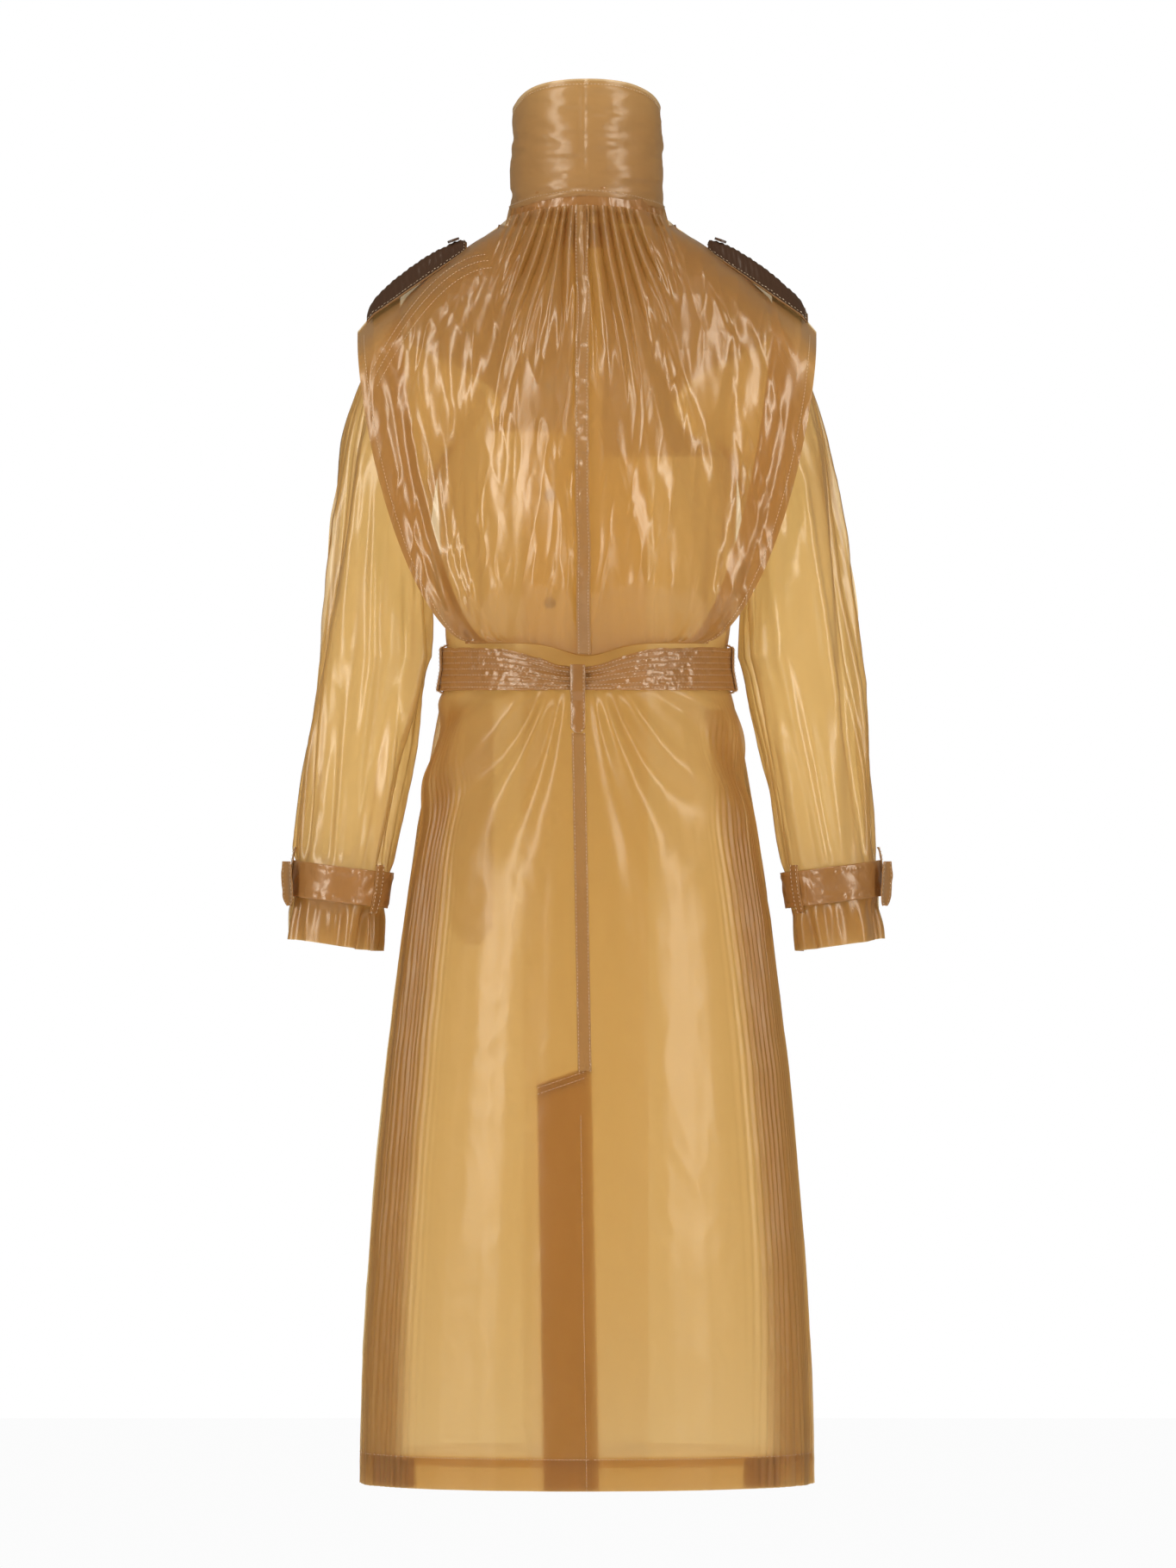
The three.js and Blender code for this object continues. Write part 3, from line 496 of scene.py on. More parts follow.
def sleeve_cloth(sizes, side, turn, down):
    """The sleeve's cloth from the armhole (down 0) to the hem (down 1)."""
    top_z, foot_z, _ = ARMHOLE
    armhole_z = mix(top_z, foot_z, (1 - np.cos(turn)) / 2)
    hem_z = across_sleeve(turn, SLEEVE_HEM_OUTER_Z, SLEEVE_HEM_INNER_Z)
    z = mix(armhole_z, hem_z, down)
    free = smooth(down, 0.0, 0.2)
    to_strap = np.abs(z - strap_z(turn))
    strapped = np.exp(-((to_strap / 0.021) ** 4))
    below = smooth(strap_z(turn) - z, 0.018, 0.05)
    seed = 71 + side
    slanted = turn * 2.2 + side * 2.6 * down
    long_folds = waves(slanted, down * 1.8, seed)
    long_folds = long_folds + 0.5 * waves(turn * 5 - side * 3 * down, down * 2.6, seed + 3)
    edges = smooth(np.abs(np.cos(turn)), 0.66, 0.95)
    fine = edges * (2 * np.abs(np.sin(turn * 13 + 2 * waves(turn * 2, down * 4, seed + 5))) - 1)
    papery = sizes.crumple_depth * 0.45 * crumple(turn * 0.7, z * 10, seed + 7)
    off = sizes.sleeve_fold_depth * (1.25 * long_folds + 0.42 * fine - 0.6) * free + papery * free
    off = off * (1 - strapped) - 0.0015 * strapped
    off = off + below * (0.0015 + 0.0025 * waves(turn * 2.2, 0 * z, seed + 9))
    tube = sleeve_point(side, turn, z, off)
    return mix(armhole_point(side, turn), tube, free[:, None])


# ---------- Making cloth ----------


def points_of(mesh):
    found = np.zeros(len(mesh.vertices) * 3)
    mesh.vertices.foreach_get("co", found)
    return found.reshape(-1, 3)


def deselect():
    bpy.ops.object.select_all(action="DESELECT")


def apply_modifiers(piece):
    deselect()
    piece.select_set(True)
    bpy.context.view_layer.objects.active = piece
    for modifier in list(piece.modifiers):
        bpy.ops.object.modifier_apply(modifier=modifier.name)


def cloth_panel(name, place, columns, rows, size, closed=False):
    """A grid of cloth moved to place(u, v). Its UV map is its flat position in metres."""
    deselect()
    bpy.ops.mesh.primitive_grid_add(x_subdivisions=columns, y_subdivisions=rows, size=1)
    piece = bpy.context.object
    piece.name = name
    piece.data.name = name
    flat = points_of(piece.data)
    u = np.clip(flat[:, 0] + 0.5, 0, 1)
    v = np.clip(flat[:, 1] + 0.5, 0, 1)
    piece.data.vertices.foreach_set("co", place(u, v).ravel())
    uv = np.zeros(len(piece.data.loops) * 2)
    layer = piece.data.uv_layers.active
    layer.uv.foreach_get("vector", uv)
    layer.uv.foreach_set("vector", (uv.reshape(-1, 2) * np.array(size)).ravel())
    piece.data.update()
    if closed:
        bpy.ops.object.mode_set(mode="EDIT")
        bpy.ops.mesh.select_all(action="SELECT")
        bpy.ops.mesh.remove_doubles(threshold=1e-5)
        bpy.ops.object.mode_set(mode="OBJECT")
    bpy.ops.object.shade_smooth()
    return piece


def strip(name, place, columns, rows, size, thickness):
    """A sewn strap: a cloth panel with a real thickness and soft edges."""
    piece = cloth_panel(name, place, columns, rows, size)
    wall = piece.modifiers.new("wall", "SOLIDIFY")
    wall.thickness = thickness
    wall.offset = -1
    edge = piece.modifiers.new("soft edge", "BEVEL")
    edge.width = thickness * 0.3
    edge.segments = 2
    edge.limit_method = "ANGLE"
    apply_modifiers(piece)
    bpy.ops.object.shade_smooth()
    return piece


def surface_at(place, u, v):
    """Points and outward normals of a surface at these places."""
    step = 0.002
    point = place(u, v)
    right = place(np.minimum(u + step, 1), v) - place(np.maximum(u - step, 0), v)
    up = place(u, np.minimum(v + step, 1)) - place(u, np.maximum(v - step, 0))
    normal = np.cross(right, up)
    return point, normal / np.maximum(np.linalg.norm(normal, axis=1), 1e-12)[:, None]


# Height of a thread's foot above the cloth that it is sewn through.
THREAD_RAISED = 0.0004


def stitch_rows(name, place, rows, sizes):
    """Threads along rows of a surface. Each row is a list of (u, v) from its start to its end."""
    corners = np.array([[-1, 0, 0], [0, 1, 0], [1, 0, 0], [0, -1, 0], [0, 0, 1]])
    faces = [[0, 3, 4], [3, 2, 4], [2, 1, 4], [1, 0, 4]]
    shape = np.array([sizes.stitch_pitch * 0.4, sizes.thread_width / 2, sizes.thread_width * 0.6])
    made_points = []
    made_faces = []
    count = 0
    for row in rows:
        u, v = (np.array(values, float) for values in row)
        rough = place(u, v)
        along = np.concatenate([[0], np.cumsum(np.linalg.norm(np.diff(rough, axis=0), axis=1))])
        number = max(int(along[-1] / sizes.stitch_pitch), 2)
        stops = np.linspace(0, along[-1], number)
        row_u = np.interp(stops, along, u)
        row_v = np.interp(stops, along, v)
        point, normal = surface_at(place, row_u, row_v)
        ahead = np.gradient(point, axis=0)
        ahead /= np.maximum(np.linalg.norm(ahead, axis=1), 1e-12)[:, None]
        beside = np.cross(normal, ahead)
        for k in range(number):
            basis = np.stack([ahead[k], beside[k], normal[k]])
            made_points.append(point[k] + THREAD_RAISED * normal[k] + (corners * shape) @ basis)
            made_faces += [[count + c for c in face] for face in faces]
            count += len(corners)
    mesh = bpy.data.meshes.new(name)
    mesh.from_pydata(np.concatenate(made_points).tolist(), [], made_faces)
    mesh.update()
    piece = bpy.data.objects.new(name, mesh)
    bpy.context.scene.collection.objects.link(piece)
    piece.data.materials.append(bpy.data.materials["thread"])
    return piece


def sew(name, place, rows, sizes, body):
    """Rows of stitches that move with a body."""
    threads = stitch_rows(name, place, rows, sizes)
    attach(threads, body)


def fasten(piece, node, body):
    """Lets a piece stand for the frame's node and move with a body."""
    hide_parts(node)
    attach(piece, body)


def line(start, end, count=60):
    """A row's (u, v) lists between two (u, v) places."""
    share = np.linspace(0, 1, count)
    return mix(start[0], end[0], share), mix(start[1], end[1], share)


def dress(piece, material, slot):
    piece.data.materials.clear()
    piece.data.materials.append(bpy.data.materials[material])
    return piece


def flat_area(piece):
    mesh = piece.data
    areas = np.zeros(len(mesh.polygons))
    mesh.polygons.foreach_get("area", areas)
    return float(areas.sum())


def declare_cloth(piece, length):
    """Works out how wide the flat cut of a panel this long would be, from its cloth's area. The width is
    not kept.
    """
    width = flat_area(piece) / length


# ---------- Materials ----------

# The finish on top of every cloth: colour, roughness, and how fast it grows towards a grazing view.
SHEEN = ((0.66, 0.42, 0.22), 0.5, 2.4)
GLOSS = ((1.0, 0.90, 0.76), 0.27, 4.5)
GLOSS_AT_EDGE = 0.30
GLOSS_FACE_ON = 0.055
# How far up a back or front panel, in its UV map's metres, the waist is.
WAIST_UP_PANEL = 0.68
WAIST_FADE = 0.06


def wire(tree, source, target):
    tree.links.new(source, target)


def add_node(tree, kind, values=None, **settings):
    """A node with these values on its inputs and these settings."""
    node = tree.nodes.new(kind)
    for name, setting in settings.items():
        setattr(node, name, setting)
    for socket, value in (values or {}).items():
        node.inputs[socket].default_value = value
    return node


def crinkle_group():
    """Papery crinkle of thin coated cloth, from a flat position in metres: a height, and a tone mask."""
    tree = bpy.data.node_groups.new("papery crinkle", "ShaderNodeTree")
    face = tree.interface
    face.new_socket(name="Place", in_out="INPUT", socket_type="NodeSocketVector")
    size = face.new_socket(name="Crease size", in_out="INPUT", socket_type="NodeSocketFloat")
    size.default_value = 38
    stretch = face.new_socket(name="Stretch", in_out="INPUT", socket_type="NodeSocketFloat")
    stretch.default_value = 0.4
    face.new_socket(name="Height", in_out="OUTPUT", socket_type="NodeSocketFloat")
    face.new_socket(name="Tone", in_out="OUTPUT", socket_type="NodeSocketFloat")
    start = tree.nodes.new("NodeGroupInput")
    end = tree.nodes.new("NodeGroupOutput")
    join = add_node(tree, "ShaderNodeCombineXYZ", {"X": 1, "Z": 1})
    wire(tree, start.outputs["Stretch"], join.inputs["Y"])
    squeezed = add_node(tree, "ShaderNodeVectorMath", operation="MULTIPLY")
    wire(tree, start.outputs["Place"], squeezed.inputs[0])
    wire(tree, join.outputs["Vector"], squeezed.inputs[1])
    wander = add_node(tree, "ShaderNodeTexNoise", {"Detail": 2.0, "Scale": 20})
    wire(tree, squeezed.outputs["Vector"], wander.inputs["Vector"])
    bend = add_node(tree, "ShaderNodeVectorMath", {"Scale": 0.02}, operation="SCALE")
    wire(tree, wander.outputs["Color"], bend.inputs[0])
    bent = add_node(tree, "ShaderNodeVectorMath", operation="ADD")
    wire(tree, squeezed.outputs["Vector"], bent.inputs[0])
    wire(tree, bend.outputs["Vector"], bent.inputs[1])
    crease = add_node(tree, "ShaderNodeTexVoronoi", feature="DISTANCE_TO_EDGE")
    wire(tree, bent.outputs["Vector"], crease.inputs["Vector"])
    wire(tree, start.outputs["Crease size"], crease.inputs["Scale"])
    sharp = add_node(tree, "ShaderNodeMapRange", {"From Max": 0.22}, interpolation_type="SMOOTHSTEP")
    wire(tree, crease.outputs["Distance"], sharp.inputs["Value"])
    ripple = add_node(
        tree, "ShaderNodeTexNoise", {"Detail": 3, "Roughness": 0.5}, noise_type="RIDGED_MULTIFRACTAL"
    )
    wire(tree, bent.outputs["Vector"], ripple.inputs["Vector"])
    wire(tree, start.outputs["Crease size"], ripple.inputs["Scale"])
    total = add_node(tree, "ShaderNodeMath", {1: 0.3}, operation="MULTIPLY_ADD")
    wire(tree, sharp.outputs["Result"], total.inputs[0])
    wire(tree, ripple.outputs["Fac"], total.inputs[2])
    wire(tree, total.outputs["Value"], end.inputs["Height"])
    cloudy = add_node(tree, "ShaderNodeTexNoise", {"Scale": 9, "Detail": 4})
    wire(tree, squeezed.outputs["Vector"], cloudy.inputs["Vector"])
    tone = add_node(
        tree, "ShaderNodeMapRange", {"From Min": 0.3, "From Max": 0.7}, interpolation_type="SMOOTHSTEP"
    )
    wire(tree, cloudy.outputs["Fac"], tone.inputs["Value"])
    wire(tree, tone.outputs["Result"], end.inputs["Tone"])
    return tree


def weave_group():
    """Plain weave of fine yarns, from a flat position in metres: a height."""
    tree = bpy.data.node_groups.new("plain weave", "ShaderNodeTree")
    face = tree.interface
    face.new_socket(name="Place", in_out="INPUT", socket_type="NodeSocketVector")
    yarns = face.new_socket(name="Yarns", in_out="INPUT", socket_type="NodeSocketFloat")
    yarns.default_value = 420
    face.new_socket(name="Height", in_out="OUTPUT", socket_type="NodeSocketFloat")
    start = tree.nodes.new("NodeGroupInput")
    end = tree.nodes.new("NodeGroupOutput")
    heights = []
    for direction in ("X", "Y"):
        yarn = add_node(
            tree, "ShaderNodeTexWave", {"Distortion": 0.6}, bands_direction=direction, wave_profile="SIN"
        )
        wire(tree, start.outputs["Place"], yarn.inputs["Vector"])
        wire(tree, start.outputs["Yarns"], yarn.inputs["Scale"])
        heights.append(yarn.outputs["Fac"])
    crossed = add_node(tree, "ShaderNodeMath", operation="MAXIMUM")
    wire(tree, heights[0], crossed.inputs[0])
    wire(tree, heights[1], crossed.inputs[1])
    wire(tree, crossed.outputs["Value"], end.inputs["Height"])
    return tree


def see_through_cloth(name, tones, body, creases_of, shine=1.0, clear_above=None, sheen=0.85):
    """Thin coated cloth: a glossy face, light that glows through it, and a share that is simply clear.

    tones are the colours of the face, its darker clouds, the glow and the tint of what is seen through.
    body is (clear share, glowing share), and creases_of is (crease depth, creases for each metre).
    clear_above is the clear share above the waist, if that differs.
    """
    colour, dark, glow, tint = tones
    clearness, glow_share = body
    crinkle, crease_size = creases_of
    material = bpy.data.materials.new(name)
    material.use_nodes = True
    tree = material.node_tree
    tree.nodes.clear()
    place = tree.nodes.new("ShaderNodeTexCoord")
    papery = tree.nodes.new("ShaderNodeGroup")
    papery.node_tree = bpy.data.node_groups["papery crinkle"]
    papery.inputs["Crease size"].default_value = crease_size
    wire(tree, place.outputs["UV"], papery.inputs["Place"])
    weave = tree.nodes.new("ShaderNodeGroup")
    weave.node_tree = bpy.data.node_groups["plain weave"]
    wire(tree, place.outputs["UV"], weave.inputs["Place"])
    shade = add_node(tree, "ShaderNodeMix", {"A": (*dark, 1), "B": (*colour, 1)}, data_type="RGBA")
    wire(tree, papery.outputs["Tone"], shade.inputs["Factor"])
    fine = add_node(tree, "ShaderNodeBump", {"Strength": 0.15, "Distance": 0.0001})
    wire(tree, weave.outputs["Height"], fine.inputs["Height"])
    bump = add_node(tree, "ShaderNodeBump", {"Strength": 1, "Distance": crinkle})
    wire(tree, papery.outputs["Height"], bump.inputs["Height"])
    wire(tree, fine.outputs["Normal"], bump.inputs["Normal"])
    face = add_node(tree, "ShaderNodeBsdfPrincipled", {"Roughness": 0.45, "Specular IOR Level": 0})
    wire(tree, shade.outputs["Result"], face.inputs["Base Color"])
    wire(tree, bump.outputs["Normal"], face.inputs["Normal"])
    through = add_node(tree, "ShaderNodeBsdfTranslucent", {"Color": (*glow, 1)})
    wire(tree, bump.outputs["Normal"], through.inputs["Normal"])
    lit = add_node(tree, "ShaderNodeMixShader", {"Fac": glow_share})
    wire(tree, face.outputs["BSDF"], lit.inputs[1])
    wire(tree, through.outputs["BSDF"], lit.inputs[2])
    clear = add_node(tree, "ShaderNodeBsdfTransparent", {"Color": (*tint, 1)})
    whole = add_node(tree, "ShaderNodeMixShader", {"Fac": clearness})
    if clear_above:
        parts = tree.nodes.new("ShaderNodeSeparateXYZ")
        wire(tree, place.outputs["UV"], parts.inputs["Vector"])
        rise = {"From Min": WAIST_UP_PANEL, "From Max": WAIST_UP_PANEL + WAIST_FADE}
        shares = {"To Min": clearness, "To Max": clear_above}
        above = add_node(
            tree, "ShaderNodeMapRange", {**rise, **shares}, interpolation_type="SMOOTHSTEP"
        )
        wire(tree, parts.outputs["Y"], above.inputs["Value"])
        wire(tree, above.outputs["Result"], whole.inputs["Fac"])
    wire(tree, lit.outputs["Shader"], whole.inputs[1])
    wire(tree, clear.outputs["BSDF"], whole.inputs[2])
    grazing = add_node(tree, "ShaderNodeLayerWeight", {"Blend": 0.5})
    wire(tree, bump.outputs["Normal"], grazing.inputs["Normal"])
    layer = whole
    for (finish_colour, roughness, power), at_edge, face_on in (
        (SHEEN, sheen, 0.0),
        (GLOSS, GLOSS_AT_EDGE * shine, GLOSS_FACE_ON * shine),
    ):
        values = {"Roughness": roughness, "Color": (*finish_colour, 1)}
        finish = add_node(tree, "ShaderNodeBsdfAnisotropic", values, distribution="GGX")
        wire(tree, bump.outputs["Normal"], finish.inputs["Normal"])
        steep = add_node(tree, "ShaderNodeMath", {1: power}, operation="POWER")
        wire(tree, grazing.outputs["Facing"], steep.inputs[0])
        share = add_node(tree, "ShaderNodeMath", {1: at_edge, 2: face_on}, operation="MULTIPLY_ADD")
        wire(tree, steep.outputs["Value"], share.inputs[0])
        coated = tree.nodes.new("ShaderNodeMixShader")
        wire(tree, share.outputs["Value"], coated.inputs["Fac"])
        wire(tree, layer.outputs["Shader"], coated.inputs[1])
        wire(tree, finish.outputs["BSDF"], coated.inputs[2])
        layer = coated
    out = tree.nodes.new("ShaderNodeOutputMaterial")
    wire(tree, layer.outputs["Shader"], out.inputs["Surface"])
    return material


def solid_finish(name, colour, roughness, coat, grain_scale, grain_depth):
    """An opaque finish with a mottled colour and a fine grain, for the thread, the buckle and the studs."""
    material = bpy.data.materials.new(name)
    material.use_nodes = True
    tree = material.node_tree
    face = tree.nodes["Principled BSDF"]
    face.inputs["Coat Weight"].default_value = coat
    face.inputs["Coat Roughness"].default_value = 0.1
    place = tree.nodes.new("ShaderNodeTexCoord")
    mottle = add_node(tree, "ShaderNodeTexNoise", {"Scale": grain_scale, "Detail": 5})
    wire(tree, place.outputs["Object"], mottle.inputs["Vector"])
    tones = {"A": (*[0.6 * c for c in colour], 1), "B": (*[min(1.25 * c, 1) for c in colour], 1)}
    shade = add_node(tree, "ShaderNodeMix", tones, data_type="RGBA")
    wire(tree, mottle.outputs["Fac"], shade.inputs["Factor"])
    wire(tree, shade.outputs["Result"], face.inputs["Base Color"])
    rough = add_node(
        tree, "ShaderNodeMapRange", {"To Min": roughness * 0.8, "To Max": roughness * 1.25}
    )
    wire(tree, mottle.outputs["Fac"], rough.inputs["Value"])
    wire(tree, rough.outputs["Result"], face.inputs["Roughness"])
    bump = add_node(tree, "ShaderNodeBump", {"Distance": grain_depth})
    wire(tree, mottle.outputs["Fac"], bump.inputs["Height"])
    wire(tree, bump.outputs["Normal"], face.inputs["Normal"])
    return material


# ---------- The sizes and colours a user would change ----------


def depth_property(name, description, value):
    return bpy.props.FloatProperty(
        name=name, description=description, default=value, min=0, subtype="DISTANCE", unit="LENGTH"
    )


def colour_property(name, description, value):
    return bpy.props.FloatVectorProperty(
        name=name, description=description, default=value, size=3, min=0, max=1, subtype="COLOR"
    )


class CoatSizes(bpy.types.PropertyGroup):
    """Depths of the folds and sizes of the sewing."""

    fold_depth: depth_property("Fold depth", "Depth of the skirt's long soft folds", 0.0016)
    pleat_depth: depth_property("Pleat depth", "Depth of the fine pleats at the skirt's sides", 0.0022)
    drag_depth: depth_property("Drag fold depth", "Depth of the folds that fan out below the belt", 0.0060)
    gather_depth: depth_property("Gather depth", "Depth of the gathers at the neck of the cape", 0.0058)
    crumple_depth: depth_property("Crumple depth", "Depth of the papery creases", 0.0020)
    sleeve_fold_depth: depth_property("Sleeve fold depth", "Depth of the sleeves' long folds", 0.0060)
    stitch_pitch: depth_property("Stitch pitch", "From one stitch to the next", 0.0034)
    thread_width: depth_property("Thread width", "Width of the sewing thread", 0.0007)
    strap_thickness: depth_property("Strap thickness", "Thickness of sewn straps and tapes", 0.0012)


class CoatColours(bpy.types.PropertyGroup):
    """Colours of the cloth, the thread and the hard parts."""

    cloth: colour_property("Cloth", "Face colour of the cloth", (0.46, 0.25, 0.090))
    cloth_dark: colour_property("Cloth, dark", "Face colour in its darker clouds", (0.40, 0.21, 0.072))
    glow: colour_property("Glow", "Colour of light scattered through the cloth", (0.90, 0.71, 0.37))
    tint: colour_property("Tint", "Colour of what is seen through one layer", (0.95, 0.82, 0.56))
    strap: colour_property("Strap", "Face colour of straps and tapes", (0.43, 0.195, 0.056))
    # The epaulettes' near-black colour is partly their several thick layers of cloth and partly painted
    # shade for the shadow they sit in on the shoulders.
    dark: colour_property("Shaded dark cloth", "Face colour of the epaulettes", (0.060, 0.030, 0.017))
    thread: colour_property("Thread", "Colour of the sewing thread", (0.70, 0.52, 0.33))
    buckle: colour_property("Buckle", "Colour of the buckle and the studs", (0.09, 0.045, 0.022))


def sizes_of(context):
    return context.scene.coat_sizes


# ---------- Operators ----------


class CoatMaterials(bpy.types.Operator):
    """Makes the coat's finishes"""

    bl_idname = "coat.materials"
    bl_label = "Finishes"

    def execute(self, context):
        colours = context.scene.coat_colours
        crinkle_group()
        weave_group()
        through = (tuple(colours.glow), tuple(colours.tint))
        tan = (tuple(colours.cloth), tuple(colours.cloth_dark), *through)
        strap = tuple(colours.strap)
        brown = (strap, tuple(0.8 * c for c in strap), *through)
        # Painted shade: the epaulettes' face, glow and tint are near-black and dark brown, partly for their
        # thick layers and partly for the shade they lie in.
        shaded_black = (tuple(colours.dark), tuple(colours.dark), (0.3, 0.15, 0.06), (0.5, 0.3, 0.16))
        soft = (0.0002, 30)
        see_through_cloth("smooth cloth", tan, (0.12, 0.74), soft, shine=0.5, clear_above=0.46)
        see_through_cloth("crinkled cloth", tan, (0.42, 0.56), (0.0004, 40))
        see_through_cloth("sleeve cloth", tan, (0.22, 0.74), soft, shine=0.8, sheen=1.0)
        see_through_cloth("lined cloth", brown, (0.0, 0.08), (0.0004, 40))
        see_through_cloth("doubled cloth", tan, (0.10, 0.32), (0.0004, 30), shine=0.55)
        see_through_cloth("strap cloth", brown, (0.06, 0.25), (0.0004, 120))
        see_through_cloth("tape cloth", tan, (0.12, 0.40), (0.0004, 150))
        # The epaulettes' cloth, whose near-black colour is partly painted shade.
        see_through_cloth("shaded dark cloth", shaded_black, (0.0, 0.05), (0.0006, 110), shine=0.4, sheen=0.12)
        solid_finish("thread", tuple(colours.thread), 0.55, 0.0, 900, 0.0001)
        solid_finish("buckle horn", tuple(colours.buckle), 0.3, 0.6, 60, 0.00005)
        return {"FINISHED"}


class CoatBack(bpy.types.Operator):
    """Makes the two back panels, the vent's underlap, the side pleats and the centre seam's strip"""

    bl_idname = "coat.back"
    bl_label = "Back panels"

    def execute(self, context):
        sizes = sizes_of(context)
        fold_start, fold_end = vent_fold_ends()

        def side(sign):
            seam = -math.pi if sign < 0 else 0
            return lambda z: seam - sign * armhole_cut(z)

        def on_seam(z):
            return back_angle(seam_x(z), z)

        left = panel_place(sizes, side(-1), on_seam, NECK_Z, HEM_Z, back_offset)
        right = panel_place(sizes, on_seam, side(1), NECK_Z, HEM_Z, back_offset)
        for name, place, nodes, corner in (
            ("back_cloth_left", left, ("back_left", "vent_corner"), (0.20, 0.44)),
            ("back_cloth_right", right, ("back_right",), (0.49, 0.65)),
        ):
            piece = cloth_panel(name, place, 150, 330, (0.33, PANEL_RISE))
            dress(piece, "smooth cloth", "cloth")
            hem = [*hem_pieces(name, place), hem_corner(name, place, *corner)]
            rows = hem_stitches(sizes, name, place)
            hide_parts(*nodes)
            for each in (piece, *hem, rows):
                if name == "back_cloth_left":
                    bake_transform(each)
                else:
                    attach(each, "coat")
            declare_cloth(piece, PANEL_RISE)
        self.make_vent(sizes, fold_start, fold_end, left)
        self.make_pleats(sizes)
        self.make_seam_strip(sizes)
        return {"FINISHED"}

    def make_vent(self, sizes, fold_start, fold_end, left):
        def start(z):
            return back_angle(seam_x(z) - VENT_WIDTH, z)

        def end(z):
            return back_angle(seam_x(z) + SEAM_WIDTH / 2, z)

        place = panel_place(sizes, start, end, VENT_TOP_Z + 0.006, HEM_Z, back_offset, -0.0022)

        def slanted(u, v):
            point = place(u, v)
            top = smooth(v, 0.9, 1.0)
            point[:, 2] -= top * (1 - u) * VENT_SLANT
            return point

        rise = VENT_TOP_Z - HEM_Z
        piece = cloth_panel("vent_underlap_cloth", slanted, 16, 110, (VENT_WIDTH, rise))
        dress(piece, "doubled cloth", "doubled_cloth")
        fasten(piece, "vent_underlap", "coat")
        declare_cloth(piece, rise)

        def inside(u, v):
            return slanted(0.02 + 0.9 * u, 0.985 * v) + np.array([0, 0.0012, 0])

        facing = cloth_panel("vent_underlap_facing", inside, 12, 90, (VENT_WIDTH, rise))
        dress(facing, "crinkled cloth", "doubled_cloth")
        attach(facing, "coat")
        stay = []
        for step in (0.0, 0.006):
            count = np.linspace(0, 1, 40)
            x = seam_x(VENT_TOP_Z) + 0.002 - VENT_WIDTH * (1 - count)
            z = VENT_TOP_Z + 0.004 - step - VENT_SLANT * (1 - count)
            stay.append((x, z))

        def on_left(x, z):
            angle = back_angle(x, z)
            return coat_point(angle, z, back_offset(sizes, angle, z) + 0.0003)

        def stay_tape(u, v):
            x = seam_x(VENT_TOP_Z) + 0.002 - VENT_WIDTH * (1 - u)
            z = VENT_TOP_Z + 0.001 - VENT_SLANT * (1 - u) + (v - 0.5) * STAY_HEIGHT
            return inward(on_left(x, z), 0.0016)

        tape = cloth_panel("vent_stay_tape", stay_tape, 30, 6, (VENT_WIDTH, STAY_HEIGHT))
        dress(tape, "strap cloth", "strap")
        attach(tape, "coat")
        rows = stitch_rows("vent_stay_stitches", on_left, stay, sizes)
        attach(rows, "coat")
        edge = [line((0.985, 0.001), (0.985, 0.24))]
        rows = stitch_rows("vent_edge_stitches", left, edge, sizes)
        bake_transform(rows)

    def make_pleats(self, sizes):
        top_z = high("side_pleat_left").z
        for name, sign in SIDES:
            seam = -math.pi if sign < 0 else 0
            ends = sorted((seam - sign * 0.02, seam - sign * 0.56))

            def offset(_, angle, z, seed=21 + sign):
                below = smooth(top_z - z, 0, 0.1)
                fine = 1 - 2 * np.abs(np.sin(angle * 62 + 2.5 * waves(angle * 5, z * 2.5, seed)))
                return -0.0105 + sizes.pleat_depth * 0.8 * fine * (0.1 + 0.9 * below)

            def first(z, start=ends[0]):
                return start + 0 * z

            def last(z, end=ends[1]):
                return end + 0 * z

            place = panel_place(sizes, first, last, top_z, HEM_Z, offset)
            piece = cloth_panel(f"side_pleat_cloth_{name}", place, 90, 120, (0.10, top_z - HEM_Z))
            dress(piece, "doubled cloth", "doubled_cloth")
            fasten(piece, f"side_pleat_{name}", "coat")
            declare_cloth(piece, top_z - HEM_Z)

    def make_seam_strip(self, sizes):
        foot_z = low("seam_strip").z
        top_z = high("seam_strip").z

        def place(u, v):
            z = mix(foot_z, top_z, v)
            x = seam_x(z) + (u - 0.5) * SEAM_WIDTH
            angle = back_angle(x, z)
            ripple = 0.0005 * waves(v * 95, u * 2, 91) * np.abs(2 * u - 1)
            return coat_point(angle, z, back_offset(sizes, angle, z) + 0.0016 + ripple)

        piece = strip("seam_strip_cloth", place, 6, 260, (SEAM_WIDTH, top_z - foot_z), 0.0006)
        dress(piece, "tape cloth", "strap")
        fasten(piece, "seam_strip", "coat")
        rows = [line((0.1, 0.0), (0.1, 1.0), 200), line((0.9, 0.0), (0.9, 1.0), 200)]
        sew("seam_strip_stitches", place, rows, sizes, "coat")


def vent_fold_ends():
    """Two points either side of the middle of the vent corner's fold line."""
    foot_x = SEAM_HEM_X - VENT_CORNER_REACH
    top_x = float(seam_x(np.array([VENT_TOP_Z]))[0])
    return across_line((top_x, VENT_TOP_Z), (foot_x, HEM_Z), -0.001, 0.020)


def across_line(top, foot, before, after):
    """Points at these distances to the right of a line in the plane of the back, given as (x, z)."""
    dx, dz = foot[0] - top[0], foot[1] - top[1]
    length = math.hypot(dx, dz)
    right = (-dz / length, dx / length)
    centre = ((top[0] + foot[0]) / 2, (top[1] + foot[1]) / 2)
    ends = []
    for step in (before, after):
        ends.append((centre[0] + right[0] * step, AXIS_Y, centre[1] + right[1] * step))
    return ends


